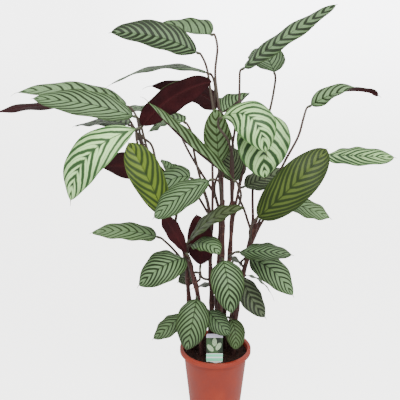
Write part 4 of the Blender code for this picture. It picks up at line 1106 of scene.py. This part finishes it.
FLOOR_SIZE = (9.2, 6.9, 1.0)
FLOOR_BACK = 3.4
WALL_HEIGHT = 4.0
WALL_BEND = 2.6
start_piece()
bpy.ops.mesh.primitive_plane_add(size=1, location=(0, 0.05, 0))
floor = bpy.context.object
floor.name = "studio_floor"
floor.scale = FLOOR_SIZE
bpy.ops.object.transform_apply()
pick(floor, lambda middle, run: middle.y > FLOOR_BACK, "edges")
bpy.ops.mesh.extrude_region_move(TRANSFORM_OT_translate={"value": (0, 0, WALL_HEIGHT)})
pick(floor, lambda middle, run: middle.y > FLOOR_BACK and middle.z < 0.1, "edges")
bpy.ops.mesh.bevel(offset=WALL_BEND, segments=18, affect="EDGES")
bpy.ops.object.mode_set(mode="OBJECT")
smooth(floor, degrees=30)

WARM_GREY = (0.60, 0.60, 0.59)
PALE_GREY = (0.62, 0.62, 0.61)
DIM_CORNER = (0.56, 0.55, 0.54)
COOL_WHITE = (1.0, 1.01, 1.04)
paint = Finish("studio_paint", Specular_IOR_Level=0.0, Roughness=0.9)
spot = paint.place()
x, _, z = paint.axes(spot)
# Painted light and shade in the glow: brighter and cooler towards the top, dimmer towards the left.
glow = paint.mix(z.ramp(0.0, 1.25), WARM_GREY, COOL_WHITE)
glow = paint.mix(x.ramp(0.3, -1.0) * 0.6, glow, DIM_CORNER)
paint.join(paint.shader.inputs["Emission Color"], glow)
paint.shader.inputs["Emission Strength"].default_value = 5.5
colour = paint.mix(paint.grain(spot, scale=3.0), WARM_GREY, PALE_GREY)
floor.data.materials.append(paint.finish(colour, 0.9))
floor.visible_diffuse = False
floor.visible_glossy = False

world = bpy.data.worlds.new("even_light")
world.use_nodes = True
world.node_tree.nodes["Background"].inputs["Color"].default_value = (1.0, 1.0, 1.0, 1.0)
world.node_tree.nodes["Background"].inputs["Strength"].default_value = 1.2
bpy.context.scene.world = world

lamp_data = bpy.data.lights.new("soft_lamp", "AREA")
lamp_data.size = 2.4
lamp_data.energy = 150
lamp = bpy.data.objects.new("soft_lamp", lamp_data)
lamp.location = (0.5, -2.2, 2.9)
plant_middle = Vector((0, 0, 0.5))
lamp.rotation_euler = (plant_middle - lamp.location).to_track_quat("-Z", "Y").to_euler()
bpy.context.scene.collection.objects.link(lamp)

camera_data = bpy.data.cameras.new("camera")
camera_data.lens = 54
camera_data.sensor_width = 36
camera = bpy.data.objects.new("camera", camera_data)
camera.location = (-0.041, -1.449, 0.975)
camera.rotation_euler = (math.radians(74.8), 0, 0)
bpy.context.scene.collection.objects.link(camera)
bpy.context.scene.camera = camera
